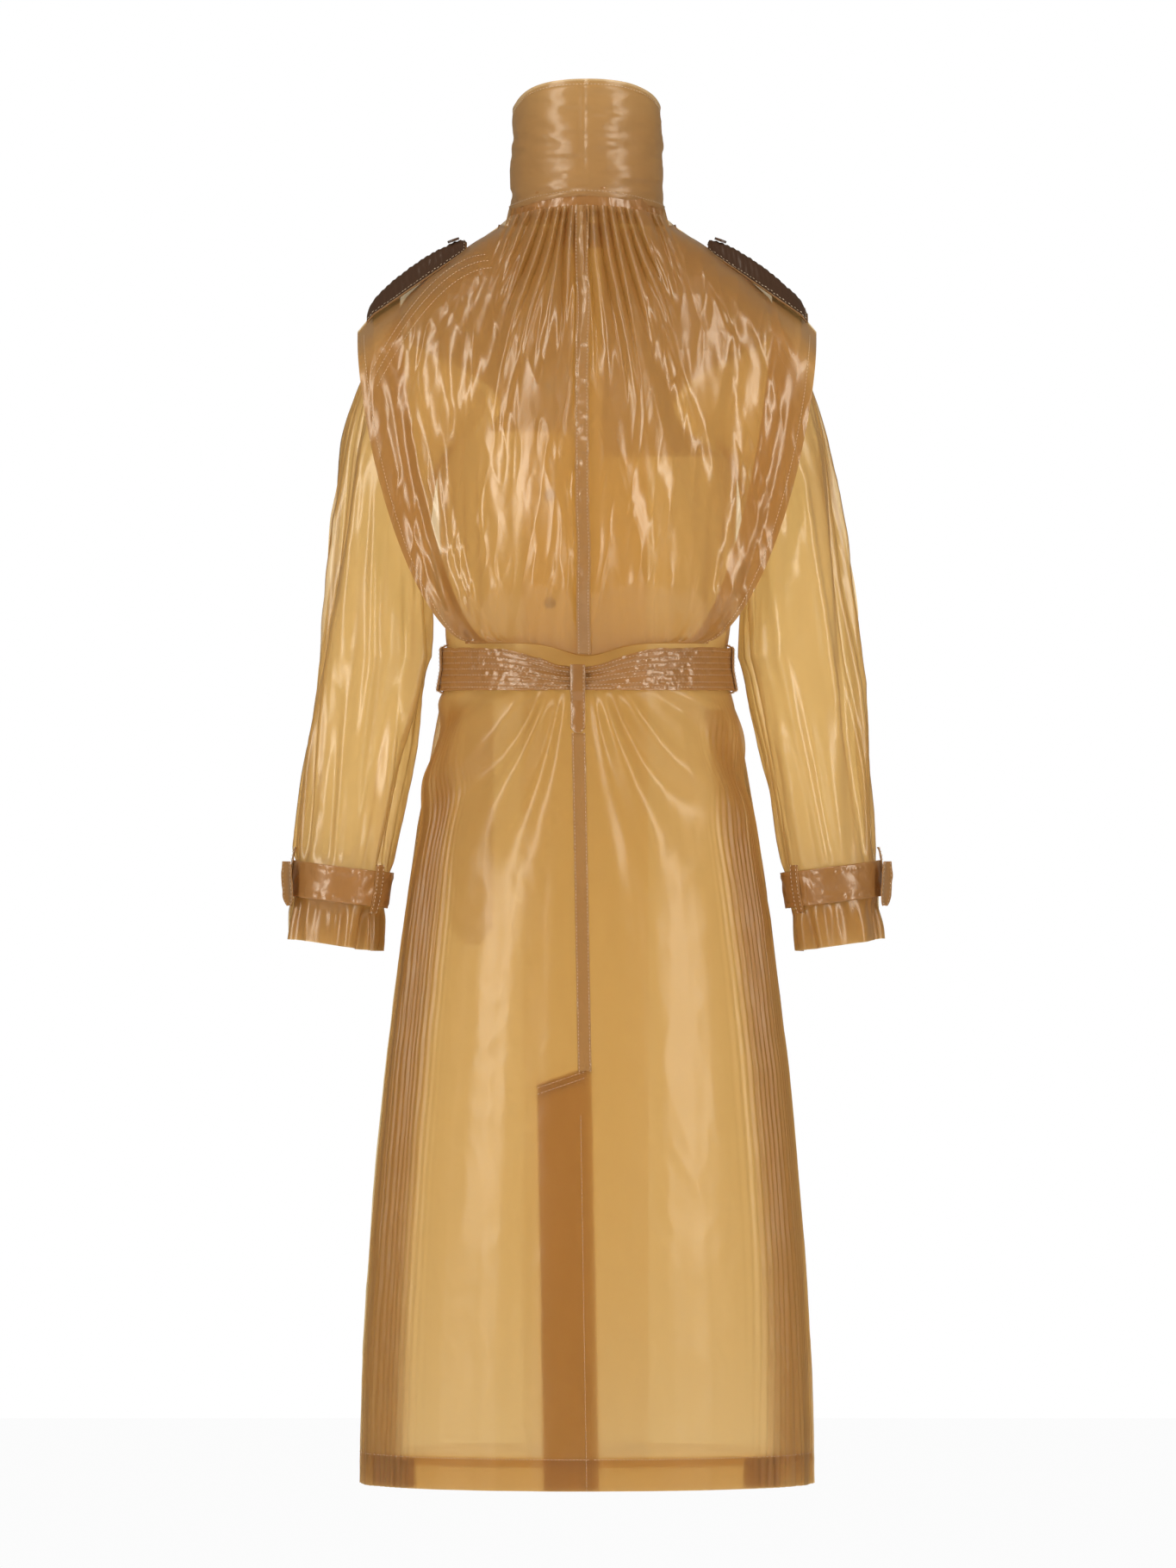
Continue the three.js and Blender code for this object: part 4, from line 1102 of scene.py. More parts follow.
def hem_pieces(name, place):
    """The turned-up hem inside a panel: one band, and its narrow turned-in edge."""
    top = row_at(HEM_DEPTH)
    inner = row_at(HEM_DEPTH - HEM_TURN_IN)

    def on_band(u, v):
        return inward(place(u, v * top), 0.0012)

    def on_edge(u, v):
        return inward(place(u, mix(inner, top, v)), 0.0020)

    band = cloth_panel(f"{name}_hem", on_band, 150, 8, (0.33, HEM_DEPTH))
    edge = cloth_panel(f"{name}_hem_edge", on_edge, 150, 3, (0.33, HEM_TURN_IN))
    for piece in (band, edge):
        dress(piece, "smooth cloth", "cloth")
    return [band, edge]


def hem_corner(name, place, start, end):
    """The thick place in the hem where a facing's foot is folded under."""
    top = row_at(HEM_DEPTH)

    def on_corner(u, v):
        return inward(place(mix(start, end, u), mix(0.02, 0.94, v) * top), 0.0028)

    piece = cloth_panel(f"{name}_hem_corner", on_corner, 40, 6, (0.04, HEM_DEPTH))
    return dress(piece, "lined cloth", "doubled_cloth")


def inward(point, step):
    """Points moved towards the coat's middle axis."""
    radial = point * np.array([1, 1, 0]) - np.array([0, AXIS_Y, 0])
    return point - step * radial / np.maximum(np.linalg.norm(radial, axis=1), 1e-9)[:, None]


def hem_stitches(sizes, name, place):
    at = row_at(HEM_DEPTH - 0.001)
    rows = stitch_rows(f"{name}_hem_stitches", place, [line((0.01, at), (0.99, at), 200)], sizes)
    return rows


class CoatFronts(bpy.types.Operator):
    """Makes the two fronts, their hems and the storm flaps on the chest"""

    bl_idname = "coat.fronts"
    bl_label = "Fronts"

    def execute(self, context):
        sizes = sizes_of(context)

        def overlap_edge(z):
            return front_angle(-FRONT_OVERLAP * front_spread(z), z)

        def left_edge(z):
            return front_angle(FRONT_OVERLAP * front_spread(z), z)

        def under(_, angle, z):
            x = section(z, 0) * np.cos(angle)
            edge = -FRONT_OVERLAP * front_spread(z)
            tuck = 0.0072 * smooth(x, edge - 0.026, edge - 0.006)
            return front_offset(sizes, angle, z) - tuck

        right = panel_place(sizes, armhole_cut, overlap_edge, NECK_Z, HEM_Z, front_offset)
        left = panel_place(sizes, left_edge, lambda z: math.pi - armhole_cut(z), NECK_Z, HEM_Z, under)
        for name, place, nodes in (
            ("front_cloth_right", right, ("front_right", "front_corner")),
            ("front_cloth_left", left, ("front_left",)),
        ):
            piece = cloth_panel(name, place, 150, 300, (0.42, PANEL_RISE))
            dress(piece, "smooth cloth", "cloth")
            hem = hem_pieces(name, place)
            rows = hem_stitches(sizes, name, place)
            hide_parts(*nodes)
            for each in (piece, *hem, rows):
                if name == "front_cloth_right":
                    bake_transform(each)
                else:
                    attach(each, "coat")
            declare_cloth(piece, PANEL_RISE)
        self.make_gun_flaps(sizes)
        for k in range(4):
            dress(frame["nodes"][f"press_stud_{k + 1}"], "buckle horn", "buckle")
        return {"FINISHED"}

    def make_gun_flaps(self, sizes):
        for name, sign in SIDES:
            node = f"gun_flap_{name}"
            foot_z = low(node).z
            top_z = high(node).z

            def offset(_, angle, z, seed=seed_of(sign)):
                x = section(z, 0) * np.cos(angle)
                papery = sizes.crumple_depth * crumple(x * 13, z * 11, seed)
                return 0.008 + 0.6 * papery

            def inner(z, side=sign):
                return front_angle(side * 0.014, z)

            def outer(z, side=sign):
                seam = 0 if side > 0 else math.pi
                return seam + side * (armhole_cut(z) + 0.12)

            ends = (outer, inner) if sign > 0 else (inner, outer)
            place = panel_place(sizes, ends[0], ends[1], top_z, foot_z, offset)
            piece = cloth_panel(f"{node}_cloth", place, 70, 90, (0.15, top_z - foot_z))
            dress(piece, "lined cloth", "cloth")
            rows = stitch_rows(f"{node}_stitches", place, [line((0.02, 0.04), (0.98, 0.04))], sizes)
            fasten(piece, node, "coat")
            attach(rows, "coat")
            declare_cloth(piece, top_z - foot_z)


def seed_of(sign):
    return 33 + 4 * sign


class CoatCape(bpy.types.Operator):
    """Makes the storm cape on the back, gathered at the neck, with its seam strip and hems"""

    bl_idname = "coat.cape"
    bl_label = "Storm cape"

    def execute(self, context):
        sizes = sizes_of(context)
        seam = CAPE_SEAM_X / CAPE_HALF_WIDTH
        rise = NECK_Z - low("storm_cape_left").z
        for name, start, end in (("left", -1, seam), ("right", seam, 1)):
            place = cape_place(sizes, start, end)
            node = f"storm_cape_{name}"
            piece = cloth_panel(f"{node}_cloth", place, 220, 260, (0.23, rise))
            dress(piece, "crinkled cloth", "cloth")
            free = 0 if name == "left" else 1
            inner = 0.19 if name == "left" else 0.81
            sewn = 0.03 if name == "left" else 0.97

            def hem(u, v, place=place, free=free, inner=inner):
                edge = mix(min(free, inner), max(free, inner), u)
                return place(edge, 0.03 + 0.965 * v) + np.array([0, 0.0009, 0])

            band = cloth_panel(f"{node}_hem", hem, 42, 220, (0.042, rise))
            dress(band, "doubled cloth", "cloth")
            row = [line((sewn, 0.04), (sewn, 0.96), 240)]
            rows = stitch_rows(f"{node}_hem_stitches", place, row, sizes)
            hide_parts(node)
            for each in (piece, band, rows):
                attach(each, "coat")
            declare_cloth(piece, rise)
        self.make_armhole_seams(sizes)
        self.make_seam_strip(sizes)
        return {"FINISHED"}

    def make_armhole_seams(self, sizes):
        """Three puckered rows that curve from the shoulder to the cape's free edge on each side."""

        def on_cape(x, z):
            s, down = cape_at(x, z)
            point = cape_point(s, down)
            point[:, 1] -= cape_folds(sizes, s, down) + 0.0004
            return point

        share = np.linspace(0, 1, 60)
        for name, sign in SIDES:
            rows = []
            for step in (0, 0.006, 0.013):
                x = sign * (0.098 + 0.108 * share**0.8 - step * 0.5)
                z = NECK_Z - 0.046 - 0.112 * share**1.5 - step
                rows.append((x, z))
            sew(f"cape_armhole_stitches_{name}", on_cape, rows, sizes, "coat")

    def make_seam_strip(self, sizes):
        def place(u, v):
            down = 1 - v
            x = CAPE_SEAM_X + (u - 0.5) * SEAM_WIDTH
            s = x / cape_side_x(down)
            point = cape_point(s, down)
            pucker = 0.0011 * waves(down * 62, u * 1.5, 93)
            point[:, 1] -= cape_folds(sizes, s, down) * 0.45 + 0.0030 + pucker
            point[:, 0] += 0.0012 * waves(down * 9, 0 * u, 95)
            return point

        rise = high("cape_seam_strip").z - low("cape_seam_strip").z
        piece = strip("cape_seam_strip_cloth", place, 8, 300, (SEAM_WIDTH, rise), 0.0006)
        dress(piece, "tape cloth", "strap")
        fasten(piece, "cape_seam_strip", "coat")
        rows = [line((0.14, 0.0), (0.14, 1.0), 240), line((0.86, 0.0), (0.86, 1.0), 240)]
        sew("cape_seam_stitches", place, rows, sizes, "coat")


def neck_point(angle, z, offset):
    x = (NECK[0] + offset) * np.cos(angle)
    y = AXIS_Y + (NECK[1] + offset) * np.sin(angle)
    return np.stack([x, y, z], 1)


class CoatCollar(bpy.types.Operator):
    """Makes the standing collar, its stand, the hanging loop and the label"""

    bl_idname = "coat.collar"
    bl_label = "Collar"

    def execute(self, context):
        sizes = sizes_of(context)
        opening = 0.007 / NECK[0]
        top_z = high("collar_leaf").z
        first, last = math.pi / 2 + opening, 2.5 * math.pi - opening

        def leaf(u, v):
            angle = mix(first, last, u)
            from_back = (1 + np.sin(angle)) / 2
            foot_z = 0.004 - 0.012 * np.cos(angle) ** 2 * (np.sin(angle) < 0) - 0.012 * (np.sin(angle) >= 0)
            round_top = 0.010 * np.abs(np.cos(angle)) ** 5
            z = mix(foot_z, top_z - 0.032 * from_back - round_top, v)
            soft = 0.0012 * waves(angle * 1.7, z * 34, 101) + 0.0010 * waves(angle * 2.2, z * 130, 102)
            crease = -0.0016 * np.exp(-(((angle - 4.66) / 0.05) ** 2)) * smooth(v, 0.1, 0.4)
            papery = sizes.crumple_depth * 0.3 * crumple(angle * 1.1, z * 22, 103)
            hemmed = 0.0007 * np.exp(-(((v - 0.955) / 0.012) ** 2))
            taper = -0.002 * v + 0.0015 * np.exp(-(((v - 0.03) / 0.03) ** 2))
            return neck_point(angle, z, -0.001 + soft + crease + papery + taper - hemmed)

        piece = cloth_panel("collar_leaf_cloth", leaf, 320, 90, (0.43, 0.11))
        dress(piece, "doubled cloth", "cloth")

        def inside(u, v):
            return inward(leaf(0.01 + 0.98 * u, v * 0.985), 0.0022)

        lining = cloth_panel("collar_lining_cloth", inside, 200, 60, (0.43, 0.11))
        dress(lining, "doubled cloth", "cloth")
        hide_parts("collar_leaf")
        rows = [line((0.01, 0.955), (0.99, 0.955), 240), line((0.01, 0.045), (0.99, 0.045), 240)]
        threads = stitch_rows("collar_stitches", leaf, rows, sizes)

        def stand(u, v):
            angle = mix(first, last, u)
            side = np.cos(angle) ** 2
            z = mix(-0.016, 0.014, v) - 0.006 * side
            ripple = 0.0007 * waves(angle * 16, v * 3, 105)
            return neck_point(angle, z, 0.0004 - 0.003 * v + ripple)

        band = strip("collar_stand_cloth", stand, 260, 10, (0.43, 0.03), 0.001)
        dress(band, "strap cloth", "doubled_cloth")
        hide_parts("collar_stand")
        low_rows = stitch_rows("collar_stand_stitches", stand, [line((0.02, 0.2), (0.98, 0.2), 240)], sizes)
        for each in (piece, lining, threads, band, low_rows):
            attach(each, "coat")
        declare_cloth(piece, 0.112)
        self.make_loop(sizes)
        self.make_label(sizes)
        return {"FINISHED"}

    def make_loop(self, sizes):
        lowest, highest = low("hang_loop"), high("hang_loop")
        half = (highest.x - lowest.x) / 2

        def place(u, v):
            x = mix(half, -half, u)
            arch = np.cos(math.pi / 2 * np.clip(x / half, -1, 1)) ** 0.7
            wall = 0.058 * np.sqrt(1 - (x / NECK[0]) ** 2)
            y = AXIS_Y - wall + 0.0024 + arch * 0.013
            z = mix(lowest.z + 0.0006, highest.z - 0.0006, v)
            twist = 0.0006 * np.sin(u * 40) * (2 * v - 1)
            return np.stack([x, y + twist, z], 1)

        piece = strip("hang_loop_cloth", place, 60, 4, (0.07, 0.007), 0.0014)
        dress(piece, "strap cloth", "strap")
        rows = [line((0.02, 0.25), (0.98, 0.25)), line((0.02, 0.75), (0.98, 0.75))]
        fasten(piece, "hang_loop", "coat")
        sew("hang_loop_stitches", place, rows, sizes, "coat")

    def make_label(self, sizes):
        lowest, highest = low("neck_label"), high("neck_label")

        def place(u, v):
            x = mix(highest.x, lowest.x, u)
            z = mix(lowest.z, highest.z, v)
            wave = 0.0004 * waves(u * 6, v * 2, 107)
            return coat_point(back_angle(x, z), z, -0.0042 + wave)

        piece = strip("neck_label_cloth", place, 30, 14, (0.052, 0.024), 0.0005)
        dress(piece, "tape cloth", "dark_cloth")
        rows = [line((0.04, 0.06), (0.96, 0.06)), line((0.04, 0.94), (0.96, 0.94))]
        fasten(piece, "neck_label", "coat")
        sew("neck_label_stitches", place, rows, sizes, "coat")


class CoatEpaulettes(bpy.types.Operator):
    """Makes the epaulettes on the shoulders"""

    bl_idname = "coat.epaulettes"
    bl_label = "Epaulettes"

    def execute(self, context):
        sizes = sizes_of(context)
        for name, sign in SIDES:
            node = f"epaulette_{name}"
            outer_x = max(abs(low(node).x), abs(high(node).x))
            length = high(node).x - low(node).x

            def place(u, v, sign=sign, outer_x=outer_x, length=length):
                along = u if sign < 0 else 1 - u
                x = sign * (outer_x - along * length)
                arch = 0.013 * np.sin(math.pi * np.clip(along, 0, 1)) ** 0.5
                tip = 1 - 0.35 * smooth(along, 0.9, 1.0) ** 2
                width = mix(0.046, 0.034, along) * tip
                y = AXIS_Y + (v - 0.5) * width + 0.0046
                droop = 0.1 * (width / 2) * (2 * v - 1) ** 2 + (arch + 0.006) * smooth(0.5 - v, 0, 0.5)
                pucker = 0.0006 * waves(u * 14, v * 7, 111) + 0.0005 * np.sin(u * 110 + v * 9)
                edge = np.abs(2 * v - 1) > 0.86
                z = cape_top_z(np.abs(x)) + 0.0065 + arch - droop + pucker * (1 - edge)
                return np.stack([x, y, z], 1)

            piece = strip(f"{node}_cloth", place, 70, 24, (0.095, 0.046), 0.0018)
            # The near-black cloth paints the shade on the epaulettes as well as the darkness of their thick
            # layers.
            dress(piece, "shaded dark cloth", "dark_cloth")
            round_it = [
                line((0.02, 0.08), (0.98, 0.08)),
                line((0.98, 0.08), (0.98, 0.92)),
                line((0.98, 0.92), (0.02, 0.92)),
            ]
            fasten(piece, node, node)
            sew(f"{node}_stitches", place, round_it, sizes, node)
            piping = self.make_piping(node, place)
            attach(piping, node)
            dress(frame["nodes"][f"epaulette_button_{name}"], "buckle horn", "buckle")
        return {"FINISHED"}

    def make_piping(self, node, place):
        """The thin light edge all round the epaulette."""
        share = np.linspace(0, 1, 40)
        edges = [(share, 0 * share), (1 + 0 * share, share), (1 - share, 1 + 0 * share)]
        u = np.concatenate([edge[0] for edge in edges])
        v = np.concatenate([edge[1] for edge in edges])
        centre = place(u, v)
        centre[:, 2] -= 0.0009
        return tube(f"{node}_piping", centre, 0.0009, "strap cloth", "strap")


def tube(name, centre, radius, material, slot):
    """A thin round piping along a line of points."""
    curve = bpy.data.curves.new(name, "CURVE")
    curve.dimensions = "3D"
    curve.bevel_depth = radius
    curve.bevel_resolution = 2
    curve.use_fill_caps = True
    spline = curve.splines.new("POLY")
    spline.points.add(len(centre) - 1)
    for k, point in enumerate(centre):
        spline.points[k].co = (*point, 1)
    piece = bpy.data.objects.new(name, curve)
    bpy.context.scene.collection.objects.link(piece)
    deselect()
    piece.select_set(True)
    bpy.context.view_layer.objects.active = piece
    bpy.ops.object.convert(target="MESH")
    piece = bpy.context.object
    return dress(piece, material, slot)


class CoatSleeves(bpy.types.Operator):
    """Makes both sleeves, each in two lengths of cloth, an upper and a lower"""

    bl_idname = "coat.sleeves"
    bl_label = "Sleeves"

    def execute(self, context):
        sizes = sizes_of(context)
        head_length, arm_length = SLEEVE_LENGTHS
        for name, side in SIDES:

            def upper(u, v, side=side):
                turn = -side * 2 * math.pi * u
                return sleeve_cloth(sizes, side, turn, mix(SLEEVE_SPLIT, 0.0, v))

            def lower(u, v, side=side):
                turn = -side * 2 * math.pi * u
                return sleeve_cloth(sizes, side, turn, mix(1.0, SLEEVE_SPLIT, v))

            head_size, arm_size = (0.34, head_length), (0.3, arm_length)
            head = cloth_panel(f"sleeve_head_cloth_{name}", upper, 150, 80, head_size, closed=True)
            arm = cloth_panel(f"sleeve_arm_cloth_{name}", lower, 150, 150, arm_size, closed=True)
            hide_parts(f"sleeve_upper_{name}")
            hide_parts(f"sleeve_lower_{name}")
            for piece in (head, arm):
                dress(piece, "sleeve cloth", "cloth")
            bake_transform(head)
            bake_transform(arm)
            declare_cloth(head, head_length)
            declare_cloth(arm, arm_length)
            rows = [(np.linspace(0.0, 1.0, 200), np.full(200, 0.045))]
            sew(f"sleeve_hem_stitches_{name}", lower, rows, sizes, f"forearm_{name}")

            def inside(u, v, lower=lower, side=side):
                return towards_arm(lower(u, 0.135 * v), side, 0.0012)

            hem = cloth_panel(f"sleeve_hem_cloth_{name}", inside, 150, 16, (0.3, 0.052), closed=True)
            dress(hem, "tape cloth", "cloth")
            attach(hem, f"forearm_{name}")
        return {"FINISHED"}


def towards_arm(point, side, step):
    """Points moved towards the middle line of the arm."""
    centre_x = side * (sleeve_outer_x(point[:, 2]) + sleeve_inner_x(point[:, 2])) / 2
    radial = np.stack([point[:, 0] - centre_x, point[:, 1] - AXIS_Y, 0 * centre_x], 1)
    return point - step * radial / np.maximum(np.linalg.norm(radial, axis=1), 1e-9)[:, None]


class CoatCuffs(bpy.types.Operator):
    """Makes the cuff straps with their keepers, loops and loose tabs"""

    bl_idname = "coat.cuffs"
    bl_label = "Cuffs"

    def execute(self, context):
        sizes = sizes_of(context)
        for name, side in SIDES:
            self.make_strap(sizes, name, side)
            self.make_bridge(sizes, name, side, "keeper", *CUFF_KEEPER)
            self.make_bridge(sizes, name, side, "loop", *CUFF_LOOP)
            self.make_tab(sizes, name, side)
        return {"FINISHED"}

    def make_strap(self, sizes, name, side):
        def place(u, v):
            turn = -side * 2 * math.pi * u
            z = strap_z(turn) + (v - 0.5) * CUFF_STRAP_WIDTH
            diagonal = waves(turn * 5 + v * 3, v * 2.2 - turn, 121)
            rows = np.exp(-(((v - 0.14) / 0.06) ** 2)) + np.exp(-(((v - 0.86) / 0.06) ** 2))
            pucker = 0.0006 * rows * waves(turn * 15, v * 6, 122)
            return sleeve_point(side, turn, z, 0.0022 + 0.0009 * diagonal * (1 - rows) + pucker)

        node = f"cuff_strap_{name}"
        piece = cloth_panel(f"{node}_cloth", place, 260, 26, (0.24, CUFF_STRAP_WIDTH), closed=True)
        wall = piece.modifiers.new("wall", "SOLIDIFY")
        wall.thickness = sizes.strap_thickness
        wall.offset = -1
        apply_modifiers(piece)
        dress(piece, "strap cloth", "strap")
        ends = (0.02, 0.98)
        rows = [line((ends[0], at), (ends[1], at), 200) for at in (0.1, 0.2, 0.8, 0.9)]
        fasten(piece, node, f"forearm_{name}")
        sew(f"{node}_stitches", place, rows, sizes, f"forearm_{name}")

    def make_bridge(self, sizes, name, side, kind, turn, width, reach):
        half_turn = width / 2 / SLEEVE_DEPTH[1]
        node = f"cuff_{kind}_{name}"

        def place(u, v):
            across = u if side < 0 else 1 - u
            here = turn - (across - 0.5) * 2 * half_turn
            centre = strap_z(np.array([turn]))[0]
            z = mix(centre - CUFF_STRAP_WIDTH / 2 - reach[1], centre + CUFF_STRAP_WIDTH / 2 + reach[0], v)
            bump = np.sin(math.pi * np.clip(v, 0, 1)) ** 0.35
            ripple = 0.0003 * waves(v * 12, u * 2, 125)
            return sleeve_point(side, here, z, 0.0019 + 0.0034 * bump + ripple)

        length = CUFF_STRAP_WIDTH + sum(reach)
        piece = strip(f"{node}_cloth", place, 6, 60, (width, length), sizes.strap_thickness)
        dress(piece, "strap cloth", "strap")
        rows = [line((0.16, 0.02), (0.16, 0.98)), line((0.84, 0.02), (0.84, 0.98))]
        fasten(piece, node, f"forearm_{name}")
        sew(f"{node}_stitches", place, rows, sizes, f"forearm_{name}")

    def make_tab(self, sizes, name, side):
        """The strap's loose rounded end, on the plane that the frame's tab has."""
        node = f"cuff_tab_{name}"
        joint = next(j for j in frame["joints"] if j["name"] == f"cuff_tab_lift_{name}")
        hinge = np.array(joint["pos_m"])
        across = np.array(joint["axis"])
        across = across / np.linalg.norm(across)
        lowest, highest = np.array(low(node)), np.array(high(node))
        centre = (lowest + highest) / 2
        down = centre - hinge
        down -= across * (down @ across)
        down[:2] *= 0.75
        down /= np.linalg.norm(down)
        outward = np.cross(across, down)
        if outward[0] * side < 0:
            outward = -outward
            across = -across

        def place(u, v):
            along = (1 - v) * TAB_LENGTH
            tip = np.clip((along - (TAB_LENGTH - TAB_HALF_WIDTH)) / TAB_HALF_WIDTH, 0, 1)
            narrow = np.sqrt(np.clip(1 - (0.93 * tip) ** 2, 0, 1)) * (1 - 0.25 * smooth(v, 0.7, 1.0))
            sideways = (2 * u - 1) * TAB_HALF_WIDTH * narrow
            curl = 0.0022 * (2 * u - 1) ** 2 - 0.003 * (along / TAB_LENGTH) ** 2
            wrinkle = 0.0005 * waves(u * 3, v * 6, 127)
            start = hinge + outward * 0.0016
            flat = start + np.outer(sideways, across) + np.outer(along, down)
            return flat + np.outer(curl + wrinkle, outward)

        flip = np.cross(across, -down) @ outward < 0

        def facing_out(u, v):
            return place(1 - u if flip else u, v)

        size = (2 * TAB_HALF_WIDTH, TAB_LENGTH)
        piece = strip(f"{node}_cloth", facing_out, 20, 32, size, sizes.strap_thickness)
        dress(piece, "strap cloth", "strap")
        edge = np.linspace(0.04, 0.96, 80)
        rows = [(np.full(80, 0.12), edge), (np.full(80, 0.88), edge), line((0.12, 0.05), (0.88, 0.05))]
        if flip:
            rows = [(1 - np.array(u), v) for u, v in rows]
        fasten(piece, node, node)
        sew(f"{node}_stitches", facing_out, rows, sizes, node)


# The places of the stitch rows across the belt, and across its tail.
BELT_ROWS = (0.07, 0.19, 0.36, 0.50, 0.64, 0.78, 0.92)
TAIL_ROWS = (0.1, 0.23, 0.36, 0.5, 0.64, 0.77, 0.9)
TAIL_WIDTH = 0.040
TAIL_SHIFT = 0.025


class CoatBelt(bpy.types.Operator):
    """Makes the belt, its keeper, side loops and loose end"""

    bl_idname = "coat.belt"
    bl_label = "Belt"

    def execute(self, context):
        sizes = sizes_of(context)
        self.make_belt(sizes)
        self.make_keeper(sizes)
        self.make_side_loops(sizes)
        self.make_tail(sizes)
        for node in ("belt_buckle", "belt_prong"):
            dress(frame["nodes"][node], "buckle horn", "buckle")
        return {"FINISHED"}

    def make_belt(self, sizes):
        buckle_angle = math.acos(BUCKLE_X / WAIST[0])
        first, last = buckle_angle + 0.05, buckle_angle + 2 * math.pi - 0.07

        def place(u, v):
            angle = mix(first, last, u)
            x = WAIST[0] * np.cos(angle)
            back = np.sin(angle) < 0
            near = np.exp(-(((x - KEEPER_X) / 0.046) ** 2)) * back
            top_z = BELT_TOP_Z - 0.019 * near
            z = mix(BELT_FOOT_Z, top_z, v)
            pucker = 0.0007 * waves(angle * 26 + v * 3.5, v * 7 - angle * 6, 131)
            quilt = 0
            for at in BELT_ROWS:
                quilt = quilt - 0.0006 * np.exp(-(((v - at) / 0.028) ** 2))
            pinch = np.exp(-(((x - KEEPER_X) / 0.030) ** 2)) * back
            drawn = 0.0022 * pinch * np.sin(v * 17) * smooth(v, 0.2, 0.4)
            z = z + 0.0006 * waves(angle * 12, 0 * v, 133) * smooth(v, 0.7, 1.0)
            return coat_point(angle, z, BELT_OFFSET + 0.0002 + pucker + quilt + drawn)

        piece = strip("belt_cloth", place, 620, 34, (0.72, 0.04), sizes.strap_thickness)
        dress(piece, "strap cloth", "strap")
        rows = [line((0.002, at), (0.998, at), 400) for at in BELT_ROWS]
        fasten(piece, "belt", "coat")
        sew("belt_stitches", place, rows, sizes, "coat")

    def make_keeper(self, sizes):
        lowest, highest = low("belt_keeper"), high("belt_keeper")
        length = highest.z - lowest.z
        width = highest.x - lowest.x

        def place(u, v):
            z = mix(lowest.z, highest.z, v)
            rounded = 1 - 0.5 * smooth(0.07 - v, 0, 0.07)
            x = KEEPER_X + (u - 0.5) * width * rounded
            in_belt = smooth(z, BELT_FOOT_Z - 0.012, BELT_FOOT_Z)
            crown = 0.0008 * (1 - (2 * u - 1) ** 2)
            out = mix(0.0034, 0.0074, in_belt) + crown + 0.0003 * waves(v * 12, u * 2, 135)
            return coat_point(back_angle(x, z), z, out)

        piece = strip("belt_keeper_cloth", place, 10, 90, (width, length), sizes.strap_thickness)
        dress(piece, "strap cloth", "strap")
        rows = [line((0.13, 0.03), (0.13, 0.97)), line((0.87, 0.03), (0.87, 0.97))]
        rows.append(line((0.15, 0.04), (0.85, 0.04), 12))
        fasten(piece, "belt_keeper", "coat")
        sew("belt_keeper_stitches", place, rows, sizes, "coat")

    def make_side_loops(self, sizes):
        for name, side in SIDES:
            node = f"belt_loop_{name}"
            lowest, highest = low(node), high(node)
            turn = 0.004 / WAIST[1]
            angle = -math.pi + 0.12 if side < 0 else -0.12

            def place(u, v, angle=angle, lowest=lowest, highest=highest):
                z = mix(lowest.z, highest.z, v)
                over_belt = smooth(v, 0.07, 0.16) * (1 - smooth(v, 0.84, 0.93))
                return coat_point(angle + (2 * u - 1) * turn, z, -0.002 + 0.0082 * over_belt)

            piece = strip(f"{node}_cloth", place, 6, 50, (0.008, 0.058), sizes.strap_thickness)
            dress(piece, "strap cloth", "strap")
            rows = [line((0.2, 0.02), (0.2, 0.98)), line((0.8, 0.02), (0.8, 0.98))]
            fasten(piece, node, "coat")
            sew(f"{node}_stitches", place, rows, sizes, "coat")

    def make_tail(self, sizes):
        lowest, highest = low("belt_tail"), high("belt_tail")
        length = highest.z - lowest.z

        def place(u, v):
            z = mix(lowest.z, highest.z, v)
            tip = 0.018 / length
            taper = 1 - 0.6 * smooth(tip - v, 0, tip)
            x = BUCKLE_X - TAIL_SHIFT + (0.5 - u) * TAIL_WIDTH * taper
            quilt = 0
            for at in TAIL_ROWS:
                quilt = quilt - 0.0005 * np.exp(-(((u - at) / 0.03) ** 2))
            pucker = 0.0006 * waves(v * 34, u * 6, 137)
            return coat_point(front_angle(x, z), z, BELT_OFFSET + quilt + pucker)

        piece = strip("belt_tail_cloth", place, 30, 170, (TAIL_WIDTH, length), sizes.strap_thickness)
        dress(piece, "strap cloth", "strap")
        rows = [line((at, 0.02), (at, 0.99), 160) for at in TAIL_ROWS]
        fasten(piece, "belt_tail", "belt_tail")
        sew("belt_tail_stitches", place, rows, sizes, "belt_tail")


FLOOR_SIZE = 12
FLOOR_DROP = 0.24
FLOOR_COLOUR = (0.97, 0.97, 0.97, 1)
# Name, place, width, height and power. The places are measured from the hanging loop.
LIGHTS = (
    ("left softbox", (-2.4, -2.6, 0.5), 0.7, 2.6, 72),
    ("right softbox", (2.4, -2.4, 0.5), 0.7, 2.6, 64),
    ("back light", (0, 2.6, -0.35), 1.8, 2.2, 66),
    ("top light", (0, -1.2, 2.2), 1.6, 0.7, 26),
)
CAMERA_DISTANCE = 12.0
# The picture is this many times as tall as the coat, and its middle is this far from the coat's.
PICTURE_HEIGHT = 1.1195
PICTURE_SHIFT = (0.001, -0.0014)


